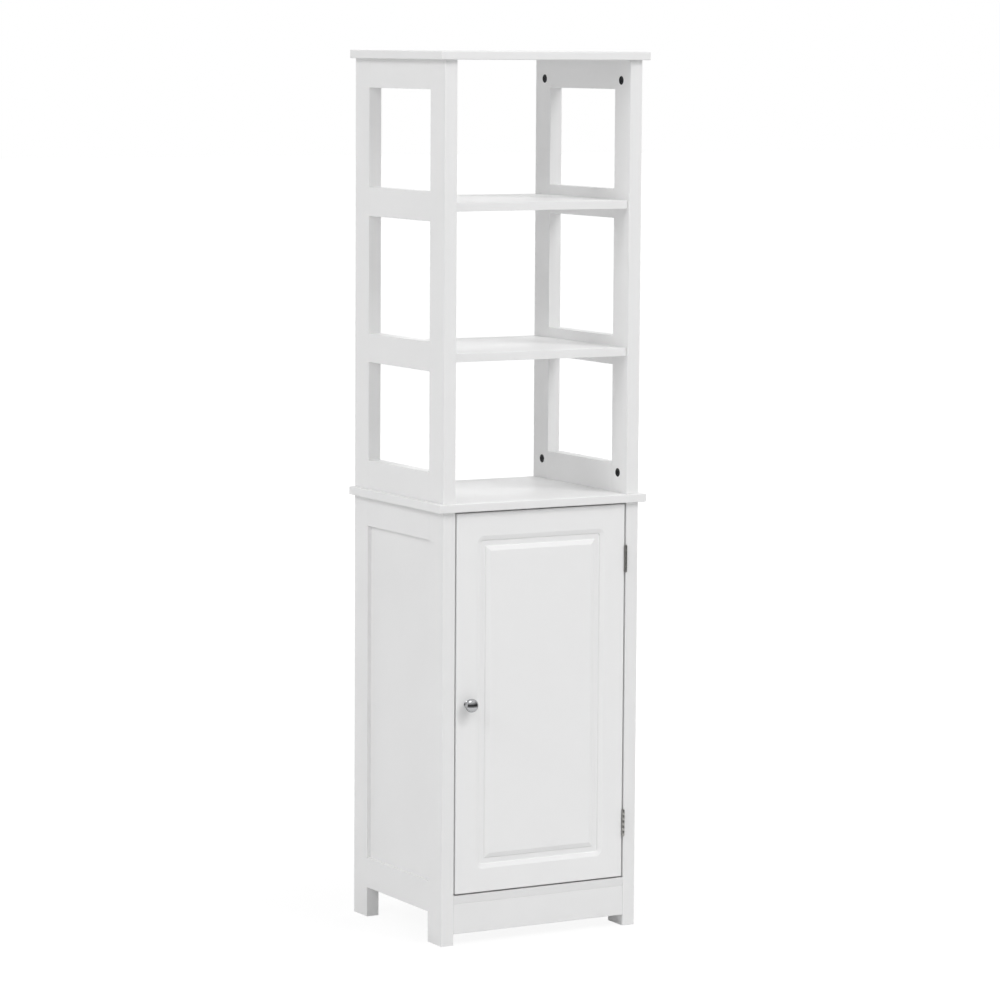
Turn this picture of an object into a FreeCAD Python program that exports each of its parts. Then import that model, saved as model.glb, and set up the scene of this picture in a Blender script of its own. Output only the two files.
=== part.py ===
import FreeCAD, Part
import math
import os

import Sketcher

# Column cabinet for a bathroom: three open compartments between ladder frames, over a cupboard with one door.
# Millimetres, +Z up, +Y towards the back. The origin is on the floor, in the middle of the space that the
# cabinet takes up, knob included.

doc = FreeCAD.newDocument("column_cabinet")

# Counts that the design rests on
COMPARTMENTS = 3
KNUCKLES = 5

# Driving dimensions: alias, value, meaning
SIZES = (
    ("overall_height", "1490", "floor to the top of the top board"),
    ("cupboard_height", "745", "floor to the top of the middle board"),
    ("body_width", "377", "across the outer faces of the side frames"),
    ("body_depth", "316.5", "front to back over the side frames"),
    ("side_overhang", "11.5", "top and middle board past each side frame"),
    ("front_overhang", "8.5", "top and middle board past the front"),
    ("top_board_thickness", "14", "top board"),
    ("middle_board_thickness", "14", "middle board"),
    ("shelf_thickness", "14", "open shelves and the shelf in the cupboard"),
    ("bottom_board_thickness", "14", "floor of the cupboard"),
    ("board_edge_radius", "1.5", "eased edges of the top and middle board"),
    ("shelf_setback", "5", "front of an open shelf behind the front of the frames"),
    ("sawn_edge_radius", "0.5", "eased edges of the frames, the shelves and the cupboard's floor"),
    ("base_rail_edge_radius", "1", "eased edges of the front base rail"),
    ("frame_thickness", "23", "stiles, legs and rails of the side frames"),
    ("stile_width", "50", "upright of an upper frame"),
    ("upper_rail_width", "49", "rail of an upper frame"),
    ("tenon_thickness", "8", "tenon of an upper rail"),
    ("tenon_shoulder", "6", "above and below a tenon"),
    ("tenon_wall", "2", "wood between a joint's end and the cam hole beside it"),
    ("leg_width", "48", "leg of a lower frame"),
    ("side_top_rail_width", "50", "upper rail of a lower frame"),
    ("side_bottom_rail_width", "52", "lower rail of a lower frame"),
    ("side_bottom_rail_lift", "51.5", "floor to the underside of that rail"),
    ("panel_thickness", "9", "side panel, and the tongues of the rails beside it"),
    ("panel_recess", "7", "outer face of the side panel behind the frame's outer face"),
    ("panel_play", "0.8", "free space past the panel's edge at the bottom of its groove"),
    ("front_rail_lift", "19", "floor to the underside of the front base rail"),
    ("front_rail_height", "51", "front base rail"),
    ("front_rail_thickness", "15", "front base rail"),
    ("back_panel_thickness", "3", "thin back of the cupboard"),
    ("back_panel_setback", "8", "back panel in front of the back edge of the legs"),
    ("back_groove_depth", "8", "groove in the back legs for the back panel"),
    ("joint_clearance", "0.15", "around tenons, tongues and panels in their grooves"),
    ("fit_clearance", "0.05", "around fasteners in their holes, on the radius"),
    ("hole_end_clearance", "0.5", "past the end of a fastener in a blind hole"),
    ("fixing_inset", "30", "line of cam bolts from the front and back of the frames"),
    ("cam_distance", "34", "centre of a cam from the joint that it pulls tight"),
    ("cam_axis_depth", "7", "bolt line below the face that the cam is set in"),
    ("cam_radius", "5.9", "cam nut"),
    ("cam_length", "10", "cam nut"),
    ("cam_recess", "0.8", "cam nut below the surface"),
    ("cam_clearance", "0.1", "around a cam nut in its hole, on the radius"),
    ("cam_bore_radius", "3.2", "mouth in the side of a cam nut for the bolt's head"),
    ("cam_slot_width", "1.6", "cross slot in the face of a cam nut"),
    ("cam_slot_length", "7.5", "cross slot in the face of a cam nut"),
    ("cam_slot_depth", "1.8", "cross slot in the face of a cam nut"),
    ("bolt_radius", "2.5", "shank and head of a cam bolt"),
    ("bolt_neck_radius", "1.5", "neck of a cam bolt behind its head"),
    ("bolt_neck_length", "4", "neck of a cam bolt behind its head"),
    ("bolt_head_length", "3", "head of a cam bolt"),
    ("bolt_thread_radius", "3", "end of a cam bolt that is screwed into the wood"),
    ("bolt_grip", "9", "depth of that end in the wood"),
    ("bolt_bore_radius", "3.4", "hole for the shank of a cam bolt"),
    ("dowel_radius", "3", "wooden dowel"),
    ("dowel_length", "28", "wooden dowel"),
    ("dowel_face_depth", "8", "share of the dowel in the piece drilled in its face"),
    ("dowel_chamfer", "0.8", "ends of the dowels"),
    ("front_dowel_inset", "13", "dowels of the front base rail from its long edges"),
    ("inner_shelf_height", "395", "floor to the underside of the shelf in the cupboard"),
    ("inner_shelf_setback", "24", "front of that shelf behind the door"),
    ("inner_shelf_play", "1", "free space at the ends and back of that shelf"),
    ("pin_hole_pitch", "32", "between the holes for the shelf pins"),
    ("pin_hole_depth", "8", "holes for the shelf pins"),
    ("shelf_pin_radius", "2.5", "round end of a shelf pin"),
    ("shelf_pin_tab", "9", "flat end of a shelf pin, width and length"),
    ("shelf_pin_tab_thickness", "3", "flat end of a shelf pin"),
    ("door_gap", "3", "beside and above the door"),
    ("door_bottom_gap", "2.5", "below the door"),
    ("door_thickness", "16", "door"),
    ("door_edge_radius", "1.5", "eased edges of the door"),
    ("moulding_margin", "39.3", "edge of the door to the routed moulding"),
    ("moulding_slope", "7", "width of each slope of the moulding"),
    ("moulding_slope_depth", "3.2", "drop of a slope"),
    ("moulding_step", "1.3", "width of the steep step between a slope and the floor of the moulding"),
    ("moulding_floor", "9", "width of the floor of the moulding"),
    ("moulding_depth", "5.2", "depth of the moulding"),
    ("moulding_edge_radius", "3.5", "rounding where the slopes meet the door's face and field"),
    ("knob_inset", "22", "axis of the knob from the free edge of the door"),
    ("knob_head_radius", "11.5", "head of the knob, across its axis"),
    ("knob_head_depth", "19", "head of the knob, along its axis"),
    ("knob_lift", "5", "back of the head from the door"),
    ("knob_neck_radius", "5", "neck of the knob"),
    ("knob_base_radius", "7", "foot of the knob"),
    ("knob_base_height", "1.2", "rim of the foot of the knob"),
    ("knob_flare", "2.4", "height of the flare from that rim to the neck"),
    ("knob_screw_radius", "2", "shank of the knob's screw"),
    ("knob_screw_grip", "10", "depth of that screw in the knob"),
    ("knob_screw_head_radius", "4", "head of that screw"),
    ("knob_screw_head_height", "2.4", "head of that screw"),
    ("hinge_length", "45", "hinge leaves"),
    ("hinge_inset", "93", "middle of a hinge from the end of the door"),
    ("leaf_width", "16", "pin axis to the far edge of a leaf"),
    ("plate_thickness", "1.1", "hinge leaves and strike plate"),
    ("barrel_radius", "2.3", "hinge knuckles"),
    ("barrel_lead", "2.2", "pin axis in front of the door"),
    ("knuckle_gap", "0.3", "between neighbouring knuckles"),
    ("hinge_pin_radius", "1", "hinge pin"),
    ("hinge_pin_clearance", "0.05", "around the pin in its knuckles, on the radius"),
    ("hinge_pin_head_radius", "1.7", "button ends of the pin"),
    ("hinge_pin_head_height", "1.2", "button ends of the pin"),
    ("hinge_screw_offset", "9.5", "screws of a leaf from the pin axis"),
    ("hinge_screw_spacing", "27", "between the two screws of a leaf"),
    ("screw_radius", "1.5", "shank of the wood screws"),
    ("screw_head_radius", "2.8", "countersunk head of the wood screws"),
    ("screw_length", "12", "wood screws, head included"),
    ("screw_tip", "3", "pointed end of the wood screws"),
    ("catch_inset", "12", "magnetic catch from the inner face of the leg"),
    ("catch_width", "22", "middle block of the catch"),
    ("catch_depth", "16", "catch, front to back"),
    ("catch_height", "18", "catch, below the middle board"),
    ("catch_wall", "2.5", "catch below the magnet"),
    ("catch_ear", "10", "screw ear on each side of the catch"),
    ("catch_ear_thickness", "2.5", "screw ears of the catch"),
    ("magnet_width", "12", "magnet in the catch"),
    ("magnet_height", "7", "magnet in the catch"),
    ("magnet_depth", "12", "magnet in the catch"),
    ("pole_thickness", "1.2", "steel plates beside the magnet"),
    ("pole_projection", "1", "steel plates in front of the catch"),
    ("catch_air_gap", "0.3", "steel plates behind the strike plate"),
    ("strike_width", "30", "strike plate on the door"),
    ("strike_height", "12", "strike plate on the door"),
)

# Places worked out from the driving dimensions
PLACES = (
    ("board_width", "=Size.body_width + 2 * Size.side_overhang", "top and middle board"),
    ("board_depth", "=Size.body_depth + Size.front_overhang", "top and middle board"),
    ("knob_reach", "=Size.knob_lift + Size.knob_head_depth", "knob in front of the door"),
    ("front", "=(knob_reach - Size.body_depth) / 2", "front of the frames and of the door"),
    ("back", "=front + Size.body_depth", "back of the frames"),
    ("middle", "=front + Size.body_depth / 2", "halfway between front and back"),
    ("outer", "=Size.body_width / 2", "outer faces of the frames, from the middle plane"),
    ("inner", "=outer - Size.frame_thickness", "inner faces of the frames, from the middle plane"),
    ("bolt_line", "=inner + Size.cam_axis_depth", "upright cam bolts, from the middle plane"),
    ("top_under", "=Size.overall_height - Size.top_board_thickness", "underside of the top board"),
    ("middle_under", "=Size.cupboard_height - Size.middle_board_thickness", "underside of the middle board"),
    ("stile_length", "=top_under - Size.cupboard_height", "uprights of the upper frames"),
    ("rail_length", "=Size.body_depth - 2 * Size.stile_width", "between those uprights"),
    ("shelf_space", f"=stile_length - {COMPARTMENTS - 1} * Size.shelf_thickness", "clear of shelves"),
    ("compartment", f"=shelf_space / {COMPARTMENTS}", "height of an open compartment"),
    ("lower_shelf", "=Size.cupboard_height + compartment", "underside of the lower open shelf"),
    ("upper_shelf", "=lower_shelf + Size.shelf_thickness + compartment", "underside of the upper open shelf"),
    ("rail_below_shelf", "=(Size.upper_rail_width - Size.shelf_thickness) / 2", "rail past a shelf"),
    ("shelf_depth", "=Size.body_depth - Size.shelf_setback", "open shelves"),
    ("cam_hole_radius", "=Size.cam_radius + Size.cam_clearance", "holes for the cam nuts"),
    ("cam_hole_depth", "=Size.cam_length + Size.cam_recess + Size.hole_end_clearance", "the same"),
    ("cam_far_side", "=Size.fixing_inset + cam_hole_radius + Size.tenon_wall", "nearest that a joint comes"),
    ("mortise_depth", "=Size.stile_width - cam_far_side", "for the tenons of the upper rails"),
    ("tenon_length", "=mortise_depth - Size.hole_end_clearance", "upper rails"),
    ("bolt_hole_radius", "=Size.bolt_thread_radius + Size.fit_clearance", "for a cam bolt's thread"),
    ("bolt_hole_depth", "=Size.bolt_grip + Size.hole_end_clearance", "for a cam bolt's thread"),
    ("dowel_hole_radius", "=Size.dowel_radius + Size.fit_clearance", "wooden dowels"),
    ("dowel_face_hole", "=Size.dowel_face_depth + Size.hole_end_clearance", "dowel hole in a face"),
    ("dowel_end_depth", "=Size.dowel_length - Size.dowel_face_depth", "dowel in the other piece"),
    ("dowel_end_hole", "=dowel_end_depth + Size.hole_end_clearance", "dowel hole in that piece"),
    ("groove_depth", "=Size.leg_width - cam_far_side", "for the side panel and tongues"),
    ("groove_width", "=Size.panel_thickness + 2 * Size.joint_clearance", "for the side panel and tongues"),
    ("tongue_length", "=groove_depth - Size.hole_end_clearance", "ends of the lower frame's rails"),
    ("side_length", "=Size.body_depth - 2 * Size.leg_width", "between the legs of a side"),
    ("side_top_rail_low", "=middle_under - Size.side_top_rail_width", "underside of the upper rail"),
    ("side_bottom_rail_top", "=Size.side_bottom_rail_lift + Size.side_bottom_rail_width", "lower rail"),
    ("panel_entry", "=groove_depth - Size.panel_play", "side panel in its grooves"),
    ("panel_height", "=side_top_rail_low - side_bottom_rail_top + 2 * panel_entry", "side panel"),
    ("bottom_under", "=Size.front_rail_lift + Size.front_rail_height", "underside of the cupboard's floor"),
    ("bottom_top", "=bottom_under + Size.bottom_board_thickness", "top of the cupboard's floor"),
    ("back_panel_front", "=back - Size.back_panel_setback - Size.back_panel_thickness", "its front"),
    ("back_panel_entry", "=Size.back_groove_depth - Size.panel_play", "back panel in its grooves"),
    ("door_width", "=2 * (inner - Size.door_gap)", "door"),
    ("door_low", "=bottom_top + Size.door_bottom_gap", "lower edge of the door"),
    ("door_height", "=middle_under - Size.door_gap - door_low", "door"),
    ("door_top", "=door_low + door_height", "upper edge of the door"),
    ("door_back", "=front + Size.door_thickness", "inner face of the door"),
    ("knob_height", "=door_low + door_height / 2", "axis of the knob above the floor"),
    ("knob_axis", "=Size.knob_inset - inner + Size.door_gap", "axis of the knob from the middle plane"),
    ("knob_hole_radius", "=Size.knob_screw_radius + Size.fit_clearance", "for the knob's screw"),
    ("moulding_foot", "=Size.moulding_floor / 2 + Size.moulding_step", "top of a step, from its middle"),
    ("moulding_radius", "=moulding_foot + Size.moulding_slope", "half the moulding's width"),
    ("moulding_line", "=Size.moulding_margin + moulding_radius", "its middle, from the door's edge"),
    ("moulding_right", "=door_width - moulding_line", "its middle on the right"),
    ("moulding_high", "=door_height - moulding_line", "its middle at the top"),
    ("moulding_tilt", "=atan(Size.moulding_slope_depth / Size.moulding_slope)", "slopes, off the face"),
    ("moulding_ease", "=Size.moulding_edge_radius * tan(moulding_tilt / 2)", "a curve past its corner"),
    ("pin_axis", "=inner - Size.door_gap / 2", "hinge pins from the middle plane"),
    ("pin_front", "=front - Size.barrel_lead", "hinge pins"),
    ("upper_hinge_low", "=door_top - Size.hinge_inset - Size.hinge_length / 2", "its lower end"),
    ("lower_hinge_low", "=door_low + Size.hinge_inset - Size.hinge_length / 2", "its lower end"),
    ("knuckle", f"=Size.hinge_length / {KNUCKLES}", "height of one knuckle"),
    ("screw_hole_radius", "=Size.screw_radius + Size.fit_clearance", "wood screws"),
    ("countersink_radius", "=Size.screw_head_radius + Size.fit_clearance", "wood screws"),
    ("head_flare", "=Size.screw_head_radius - Size.screw_radius", "screw head past its shank"),
    ("countersink_angle", "=atan(head_flare / Size.plate_thickness)", "wood screws, off the depth"),
    ("screw_grip", "=Size.screw_length - Size.plate_thickness", "wood screws below a plate"),
    ("screw_hole_depth", "=screw_grip + Size.hole_end_clearance", "in the wood"),
    ("catch_half_width", "=Size.catch_ear + Size.catch_width / 2", "middle of the catch to an ear's end"),
    ("catch_middle", "=Size.catch_inset + catch_half_width - inner", "across the cabinet"),
    ("strike_face", "=door_back + Size.plate_thickness", "face of the strike plate"),
    ("catch_front", "=strike_face + Size.catch_air_gap + Size.pole_projection", "front of the catch"),
    ("catch_low", "=middle_under - Size.catch_height", "underside of the catch"),
    ("catch_axis", "=catch_low + Size.catch_wall + Size.magnet_height / 2", "magnet and strike plate"),
    ("shelf_back", "=back_panel_front - Size.inner_shelf_play", "back edge of the shelf in the cupboard"),
)


def fill_sheet(name, rows):
    sheet = doc.addObject("Spreadsheet::Sheet", name)
    for row, (alias, content, meaning) in enumerate(rows, start=1):
        sheet.set(f"A{row}", alias)
        sheet.set(f"B{row}", content)
        sheet.setAlias(f"B{row}", alias)
        sheet.set(f"C{row}", meaning)
    doc.recompute()
    return sheet


size_sheet = fill_sheet("Size", SIZES)
place_sheet = fill_sheet("Place", PLACES)

X = FreeCAD.Vector(1, 0, 0)
Y = FreeCAD.Vector(0, 1, 0)
Z = FreeCAD.Vector(0, 0, 1)

pieces = []
cuts = []


def value(expression):
    return float(place_sheet.evalExpression(expression))


# Sketches: every point and radius is bound to an expression

def sketch_on(body, role, offset="0"):
    """Sketch on one of the body's own origin planes, moved along the plane's normal."""
    sketch = body.newObject("Sketcher::SketchObject", f"{body.Name}_sketch")
    plane = next(feature for feature in body.Origin.OriginFeatures if feature.Role == role)
    sketch.AttachmentSupport = [(plane, "")]
    sketch.MapMode = "FlatFace"
    sketch.setExpression("AttachmentOffset.Base.z", offset)
    return sketch


def fix_point(sketch, geometry, point, across, up):
    for kind, expression in (("DistanceX", across), ("DistanceY", up)):
        constraint = Sketcher.Constraint(kind, -1, 1, geometry, point, value(expression))
        index = sketch.addConstraint(constraint)
        sketch.setExpression(f"Constraints[{index}]", expression)


def fix_radius(sketch, geometry, radius):
    index = sketch.addConstraint(Sketcher.Constraint("Radius", geometry, value(radius)))
    sketch.setExpression(f"Constraints[{index}]", radius)


def outline(sketch, points):
    """Closed run of straight lines through points, each a pair of expressions."""
    first = sketch.GeometryCount
    corners = [FreeCAD.Vector(value(across), value(up), 0) for across, up in points]
    for start, end in zip(corners, corners[1:] + corners[:1]):
        sketch.addGeometry(Part.LineSegment(start, end), False)
    for index, (across, up) in enumerate(points):
        following = first + (index + 1) % len(points)
        sketch.addConstraint(Sketcher.Constraint("Coincident", first + index, 2, following, 1))
        fix_point(sketch, first + index, 1, across, up)


def rectangle(sketch, low, high):
    outline(sketch, ((low[0], low[1]), (high[0], low[1]), (high[0], high[1]), (low[0], high[1])))


def circles(sketch, radius, centres):
    for across, up in centres:
        middle = FreeCAD.Vector(value(across), value(up), 0)
        geometry = sketch.addGeometry(Part.Circle(middle, Z, value(radius)), False)
        fix_point(sketch, geometry, 3, across, up)
        fix_radius(sketch, geometry, radius)


def curved_outline(sketch, radius, stations):
    """Closed run of straight lines through corners and tangent arcs of one radius.

    A corner is a pair of expressions. An arc is its centre and the angles, in degrees, where the run
    enters it and leaves it.
    """
    joints = []
    for across, up, *angles in stations:
        middle = FreeCAD.Vector(value(across), value(up), 0)
        if angles:
            enters, leaves = (math.radians(angle) for angle in angles)
            circle = Part.Circle(middle, Z, value(radius))
            item = sketch.addGeometry(Part.ArcOfCircle(circle, *sorted((enters, leaves))), False)
            fix_point(sketch, item, 3, across, up)
            fix_radius(sketch, item, radius)
            joints.append((item, (1, 2) if enters < leaves else (2, 1), "Tangent"))
        else:
            item = sketch.addGeometry(Part.Point(middle), True)
            fix_point(sketch, item, 1, across, up)
            joints.append((item, (1, 1), "Coincident"))
    for (item, points, kind), (next_item, next_points, next_kind) in zip(joints, joints[1:] + joints[:1]):
        ends = (sketch.getPoint(item, points[1]), sketch.getPoint(next_item, next_points[0]))
        line = sketch.addGeometry(Part.LineSegment(*ends), False)
        sketch.addConstraint(Sketcher.Constraint(kind, item, points[1], line, 1))
        sketch.addConstraint(Sketcher.Constraint(next_kind, next_item, next_points[0], line, 2))


# Features of a body

def new_body(label):
    body = doc.addObject("PartDesign::Body", label)
    body.Label = label
    return body


def place(item, corner, rotation=FreeCAD.Rotation()):
    item.Placement = FreeCAD.Placement(FreeCAD.Vector(), rotation)
    for axis, expression in zip("xyz", corner):
        item.setExpression(f"Placement.Base.{axis}", expression)


def pad(body, sketch, length, reverse=False):
    feature = body.newObject("PartDesign::Pad", f"{body.Name}_pad")
    feature.Profile = sketch
    feature.Reversed = reverse
    feature.setExpression("Length", length)
    return feature


def pocket(body, sketch, depth, reverse=False, taper="0"):
    feature = body.newObject("PartDesign::Pocket", f"{body.Name}_pocket")
    feature.Profile = sketch
    feature.Reversed = reverse
    feature.setExpression("Length", depth)
    feature.setExpression("TaperAngle", taper)
    cuts.append(feature)
    return feature


def ease_edges(body, feature, radius):
    fillet = body.newObject("PartDesign::Fillet", f"{body.Name}_eased")
    fillet.Base = (feature, [""])
    fillet.UseAllEdges = True
    fillet.setExpression("Radius", radius)


def turned(body, points):
    """Solid of revolution about the body's Z axis, from points of radius and height."""
    sketch = sketch_on(body, "XZ_Plane")
    outline(sketch, points)
    feature = body.newObject("PartDesign::Revolution", f"{body.Name}_turned")
    feature.Profile = sketch
    feature.ReferenceAxis = (sketch, ["V_Axis"])
    feature.Angle = 360
    return feature


class Board:
    """Sawn piece, modelled from its low corner and then placed by that corner."""

    # Face: origin plane, where the face lies along the plane's normal, and whether a cut follows the normal
    faces = {
        "left": ("YZ_Plane", "0", True),
        "right": ("YZ_Plane", "{0}", False),
        "front": ("XZ_Plane", "0", False),
        "back": ("XZ_Plane", "-({1})", True),
        "bottom": ("XY_Plane", "0", True),
        "top": ("XY_Plane", "{2}", False),
    }

    def __init__(self, label, size, corner, eased=None):
        self.size = size
        self.body = new_body(label)
        sketch = sketch_on(self.body, "XY_Plane")
        rectangle(sketch, ("0", "0"), size[:2])
        blank = pad(self.body, sketch, size[2])
        if eased:
            ease_edges(self.body, blank, eased)
        place(self.body, corner)
        pieces.append(self.body)

    def face_sketch(self, face):
        role, offset, follows_normal = self.faces[face]
        return sketch_on(self.body, role, offset.format(*self.size)), follows_normal

    def drill(self, face, radius, depth, centres):
        """Blind holes in a face, at centres along the face's two axes."""
        sketch, follows_normal = self.face_sketch(face)
        circles(sketch, radius, centres)
        pocket(self.body, sketch, depth, follows_normal)

    def mill(self, face, low, high, depth):
        """Groove or mortise in a face, between two corners along the face's two axes."""
        sketch, follows_normal = self.face_sketch(face)
        rectangle(sketch, low, high)
        pocket(self.body, sketch, depth, follows_normal)

    def tongue(self, low, high, length):
        """Tenon or tongue at the front and back end, between two corners of its section."""
        sketch = sketch_on(self.body, "XZ_Plane", length)
        rectangle(sketch, low, high)
        pad(self.body, sketch, f"{self.size[1]} + 2 * {length}", reverse=True)


# Left and right: the sign of X, and the face of a frame piece that looks into the cabinet
SIDES = {"left": -1, "right": 1}
INNER_FACE = {"left": "right", "right": "left"}


def frame_low_x(side):
    return "-Place.outer" if side == "left" else "Place.inner"


def from_outer_face(side, low, high):
    """Low and high X in a frame piece of what lies between two depths under its outer face."""
    if side == "left":
        return low, high
    return f"Size.frame_thickness - ({high})", f"Size.frame_thickness - ({low})"


def from_inner_face(side, depth):
    return f"Size.frame_thickness - {depth}" if side == "left" else depth


def from_end(end, width, distance):
    """Place along Y in an upright, measured from the upright's own outer edge."""
    return distance if end == "front" else f"{width} - {distance}"


# Top board: overhangs the frames, with cam bolts and a dowel into each of them

BOLT_LINES_X = (
    "Place.board_width / 2 - Place.bolt_line",
    "Place.board_width / 2 + Place.bolt_line",
)
BOLT_LINES_Y = (
    "Size.front_overhang + Size.fixing_inset",
    "Place.board_depth - Size.fixing_inset",
)
BOARD_BOLTS = [(across, deep) for across in BOLT_LINES_X for deep in BOLT_LINES_Y]


def overhanging_board(label, thickness, low):
    corner = ("-Place.board_width / 2", "Place.front - Size.front_overhang", low)
    size = ("Place.board_width", "Place.board_depth", thickness)
    return Board(label, size, corner, "Size.board_edge_radius")


top_board = overhanging_board("top_board", "Size.top_board_thickness", "Place.top_under")
top_board.drill("bottom", "Place.bolt_hole_radius", "Place.bolt_hole_depth", BOARD_BOLTS)
rail_middle_y = "Size.front_overhang + Size.body_depth / 2"
top_dowels = (
    ("Size.side_overhang + Size.frame_thickness / 2", rail_middle_y),
    ("Place.board_width - Size.side_overhang - Size.frame_thickness / 2", rail_middle_y),
)
top_board.drill("bottom", "Place.dowel_hole_radius", "Place.dowel_face_hole", top_dowels)


# Upper frames: two stiles and four rails on each side, with mortise and tenon joints

UPPER_RAILS = {
    "top": "Place.top_under - Size.upper_rail_width",
    "high": "Place.upper_shelf - Place.rail_below_shelf",
    "low": "Place.lower_shelf - Place.rail_below_shelf",
    "bottom": "Size.cupboard_height",
}
SHELVES = {"upper": "Place.upper_shelf", "lower": "Place.lower_shelf"}


def upper_stile(side, end):
    low_y = "Place.front" if end == "front" else "Place.back - Size.stile_width"
    stile = Board(
        f"{side}_upper_{end}_stile",
        ("Size.frame_thickness", "Size.stile_width", "Place.stile_length"),
        (frame_low_x(side), low_y, "Size.cupboard_height"),
        "Size.sawn_edge_radius",
    )
    line_y = from_end(end, "Size.stile_width", "Size.fixing_inset")
    line_x = from_inner_face(side, "Size.cam_axis_depth")
    inside = INNER_FACE[side]
    cams = ((line_y, "Size.cam_distance"), (line_y, "Place.stile_length - Size.cam_distance"))
    stile.drill(inside, "Place.cam_hole_radius", "Place.cam_hole_depth", cams)
    for face in ("top", "bottom"):
        stile.drill(face, "Size.bolt_bore_radius", "Size.cam_distance", ((line_x, line_y),))
    shelf_bolts = [
        (line_y, f"{low} + Size.cam_axis_depth - Size.cupboard_height") for low in SHELVES.values()
    ]
    stile.drill(inside, "Place.bolt_hole_radius", "Place.bolt_hole_depth", shelf_bolts)
    joint_face = "back" if end == "front" else "front"
    half = "(Size.tenon_thickness / 2 + Size.joint_clearance)"
    for low in UPPER_RAILS.values():
        rail_low = f"{low} - Size.cupboard_height + Size.tenon_shoulder"
        stile.mill(
            joint_face,
            (f"Size.frame_thickness / 2 - {half}", f"{rail_low} - Size.joint_clearance"),
            (
                f"Size.frame_thickness / 2 + {half}",
                f"{rail_low} + Size.upper_rail_width - 2 * Size.tenon_shoulder + Size.joint_clearance",
            ),
            "Place.mortise_depth",
        )


def upper_rail(side, level):
    rail = Board(
        f"{side}_upper_{level}_rail",
        ("Size.frame_thickness", "Place.rail_length", "Size.upper_rail_width"),
        (frame_low_x(side), "Place.front + Size.stile_width", UPPER_RAILS[level]),
        "Size.sawn_edge_radius",
    )
    rail.tongue(
        ("(Size.frame_thickness - Size.tenon_thickness) / 2", "Size.tenon_shoulder"),
        (
            "(Size.frame_thickness + Size.tenon_thickness) / 2",
            "Size.upper_rail_width - Size.tenon_shoulder",
        ),
        "Place.tenon_length",
    )
    if level == "top":
        dowel = ("Size.frame_thickness / 2", "Place.rail_length / 2")
        rail.drill("top", "Place.dowel_hole_radius", "Place.dowel_end_hole", (dowel,))
    if level in ("high", "low"):
        dowel = ("Place.rail_length / 2", "Size.upper_rail_width / 2")
        rail.drill(INNER_FACE[side], "Place.dowel_hole_radius", "Place.dowel_face_hole", (dowel,))


for side in SIDES:
    for end in ("front", "back"):
        upper_stile(side, end)
    for level in UPPER_RAILS:
        upper_rail(side, level)


# Boards that are held between the frames by cam bolts and a dowel at each end

def board_between_frames(label, depth, thickness, corner, dowel_height):
    board = Board(label, ("2 * Place.inner", depth, thickness), corner, "Size.sawn_edge_radius")
    lines_y = (
        f"Place.front + Size.fixing_inset - ({corner[1]})",
        f"Place.back - Size.fixing_inset - ({corner[1]})",
    )
    lines_x = ("Size.cam_distance", "2 * Place.inner - Size.cam_distance")
    cams = [(across, deep) for across in lines_x for deep in lines_y]
    board.drill("bottom", "Place.cam_hole_radius", "Place.cam_hole_depth", cams)
    dowel = (f"Place.middle - ({corner[1]})", dowel_height)
    for face in ("left", "right"):
        bores = [(deep, "Size.cam_axis_depth") for deep in lines_y]
        board.drill(face, "Size.bolt_bore_radius", "Size.cam_distance", bores)
        board.drill(face, "Place.dowel_hole_radius", "Place.dowel_end_hole", (dowel,))
    return board


for name, low in SHELVES.items():
    board_between_frames(
        f"{name}_open_shelf",
        "Place.shelf_depth",
        "Size.shelf_thickness",
        ("-Place.inner", "Place.front + Size.shelf_setback", low),
        "Size.shelf_thickness / 2",
    )


# Middle board: the bolts that join the frames above and below it pass through

middle_board = overhanging_board("middle_board", "Size.middle_board_thickness", "Place.middle_under")
middle_board.drill("top", "Size.bolt_bore_radius", "Size.middle_board_thickness", BOARD_BOLTS)
catch_screw_x = (
    "Place.board_width / 2 + Place.catch_middle - (Size.catch_width + Size.catch_ear) / 2",
    "Place.board_width / 2 + Place.catch_middle + (Size.catch_width + Size.catch_ear) / 2",
)
catch_screw_y = "Place.catch_front + Size.catch_depth / 2 - Place.front + Size.front_overhang"
middle_board.drill(
    "bottom",
    "Place.screw_hole_radius",
    "Size.screw_length - Size.catch_ear_thickness + Size.hole_end_clearance",
    [(across, catch_screw_y) for across in catch_screw_x],
)


# Lower frames: legs and rails round a panel that is held loose in grooves

FRONT_DOWELS = (
    "Size.front_rail_lift + Size.front_dowel_inset",
    "Size.front_rail_lift + Size.front_rail_height - Size.front_dowel_inset",
)
HINGES = {"upper": "Place.upper_hinge_low", "lower": "Place.lower_hinge_low"}
LEAF_SCREWS = (
    "(Size.hinge_length - Size.hinge_screw_spacing) / 2",
    "(Size.hinge_length + Size.hinge_screw_spacing) / 2",
)
HINGE_SCREWS = [f"{low} + {up}" for low in HINGES.values() for up in LEAF_SCREWS]
HINGE_SCREW_Y = "Size.hinge_screw_offset - Size.barrel_lead"
PIN_LEVEL = "Size.inner_shelf_height - Size.shelf_pin_tab_thickness / 2"


def groove_x(side):
    low = "Size.panel_recess - Size.joint_clearance"
    return from_outer_face(side, low, f"{low} + Place.groove_width")


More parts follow.
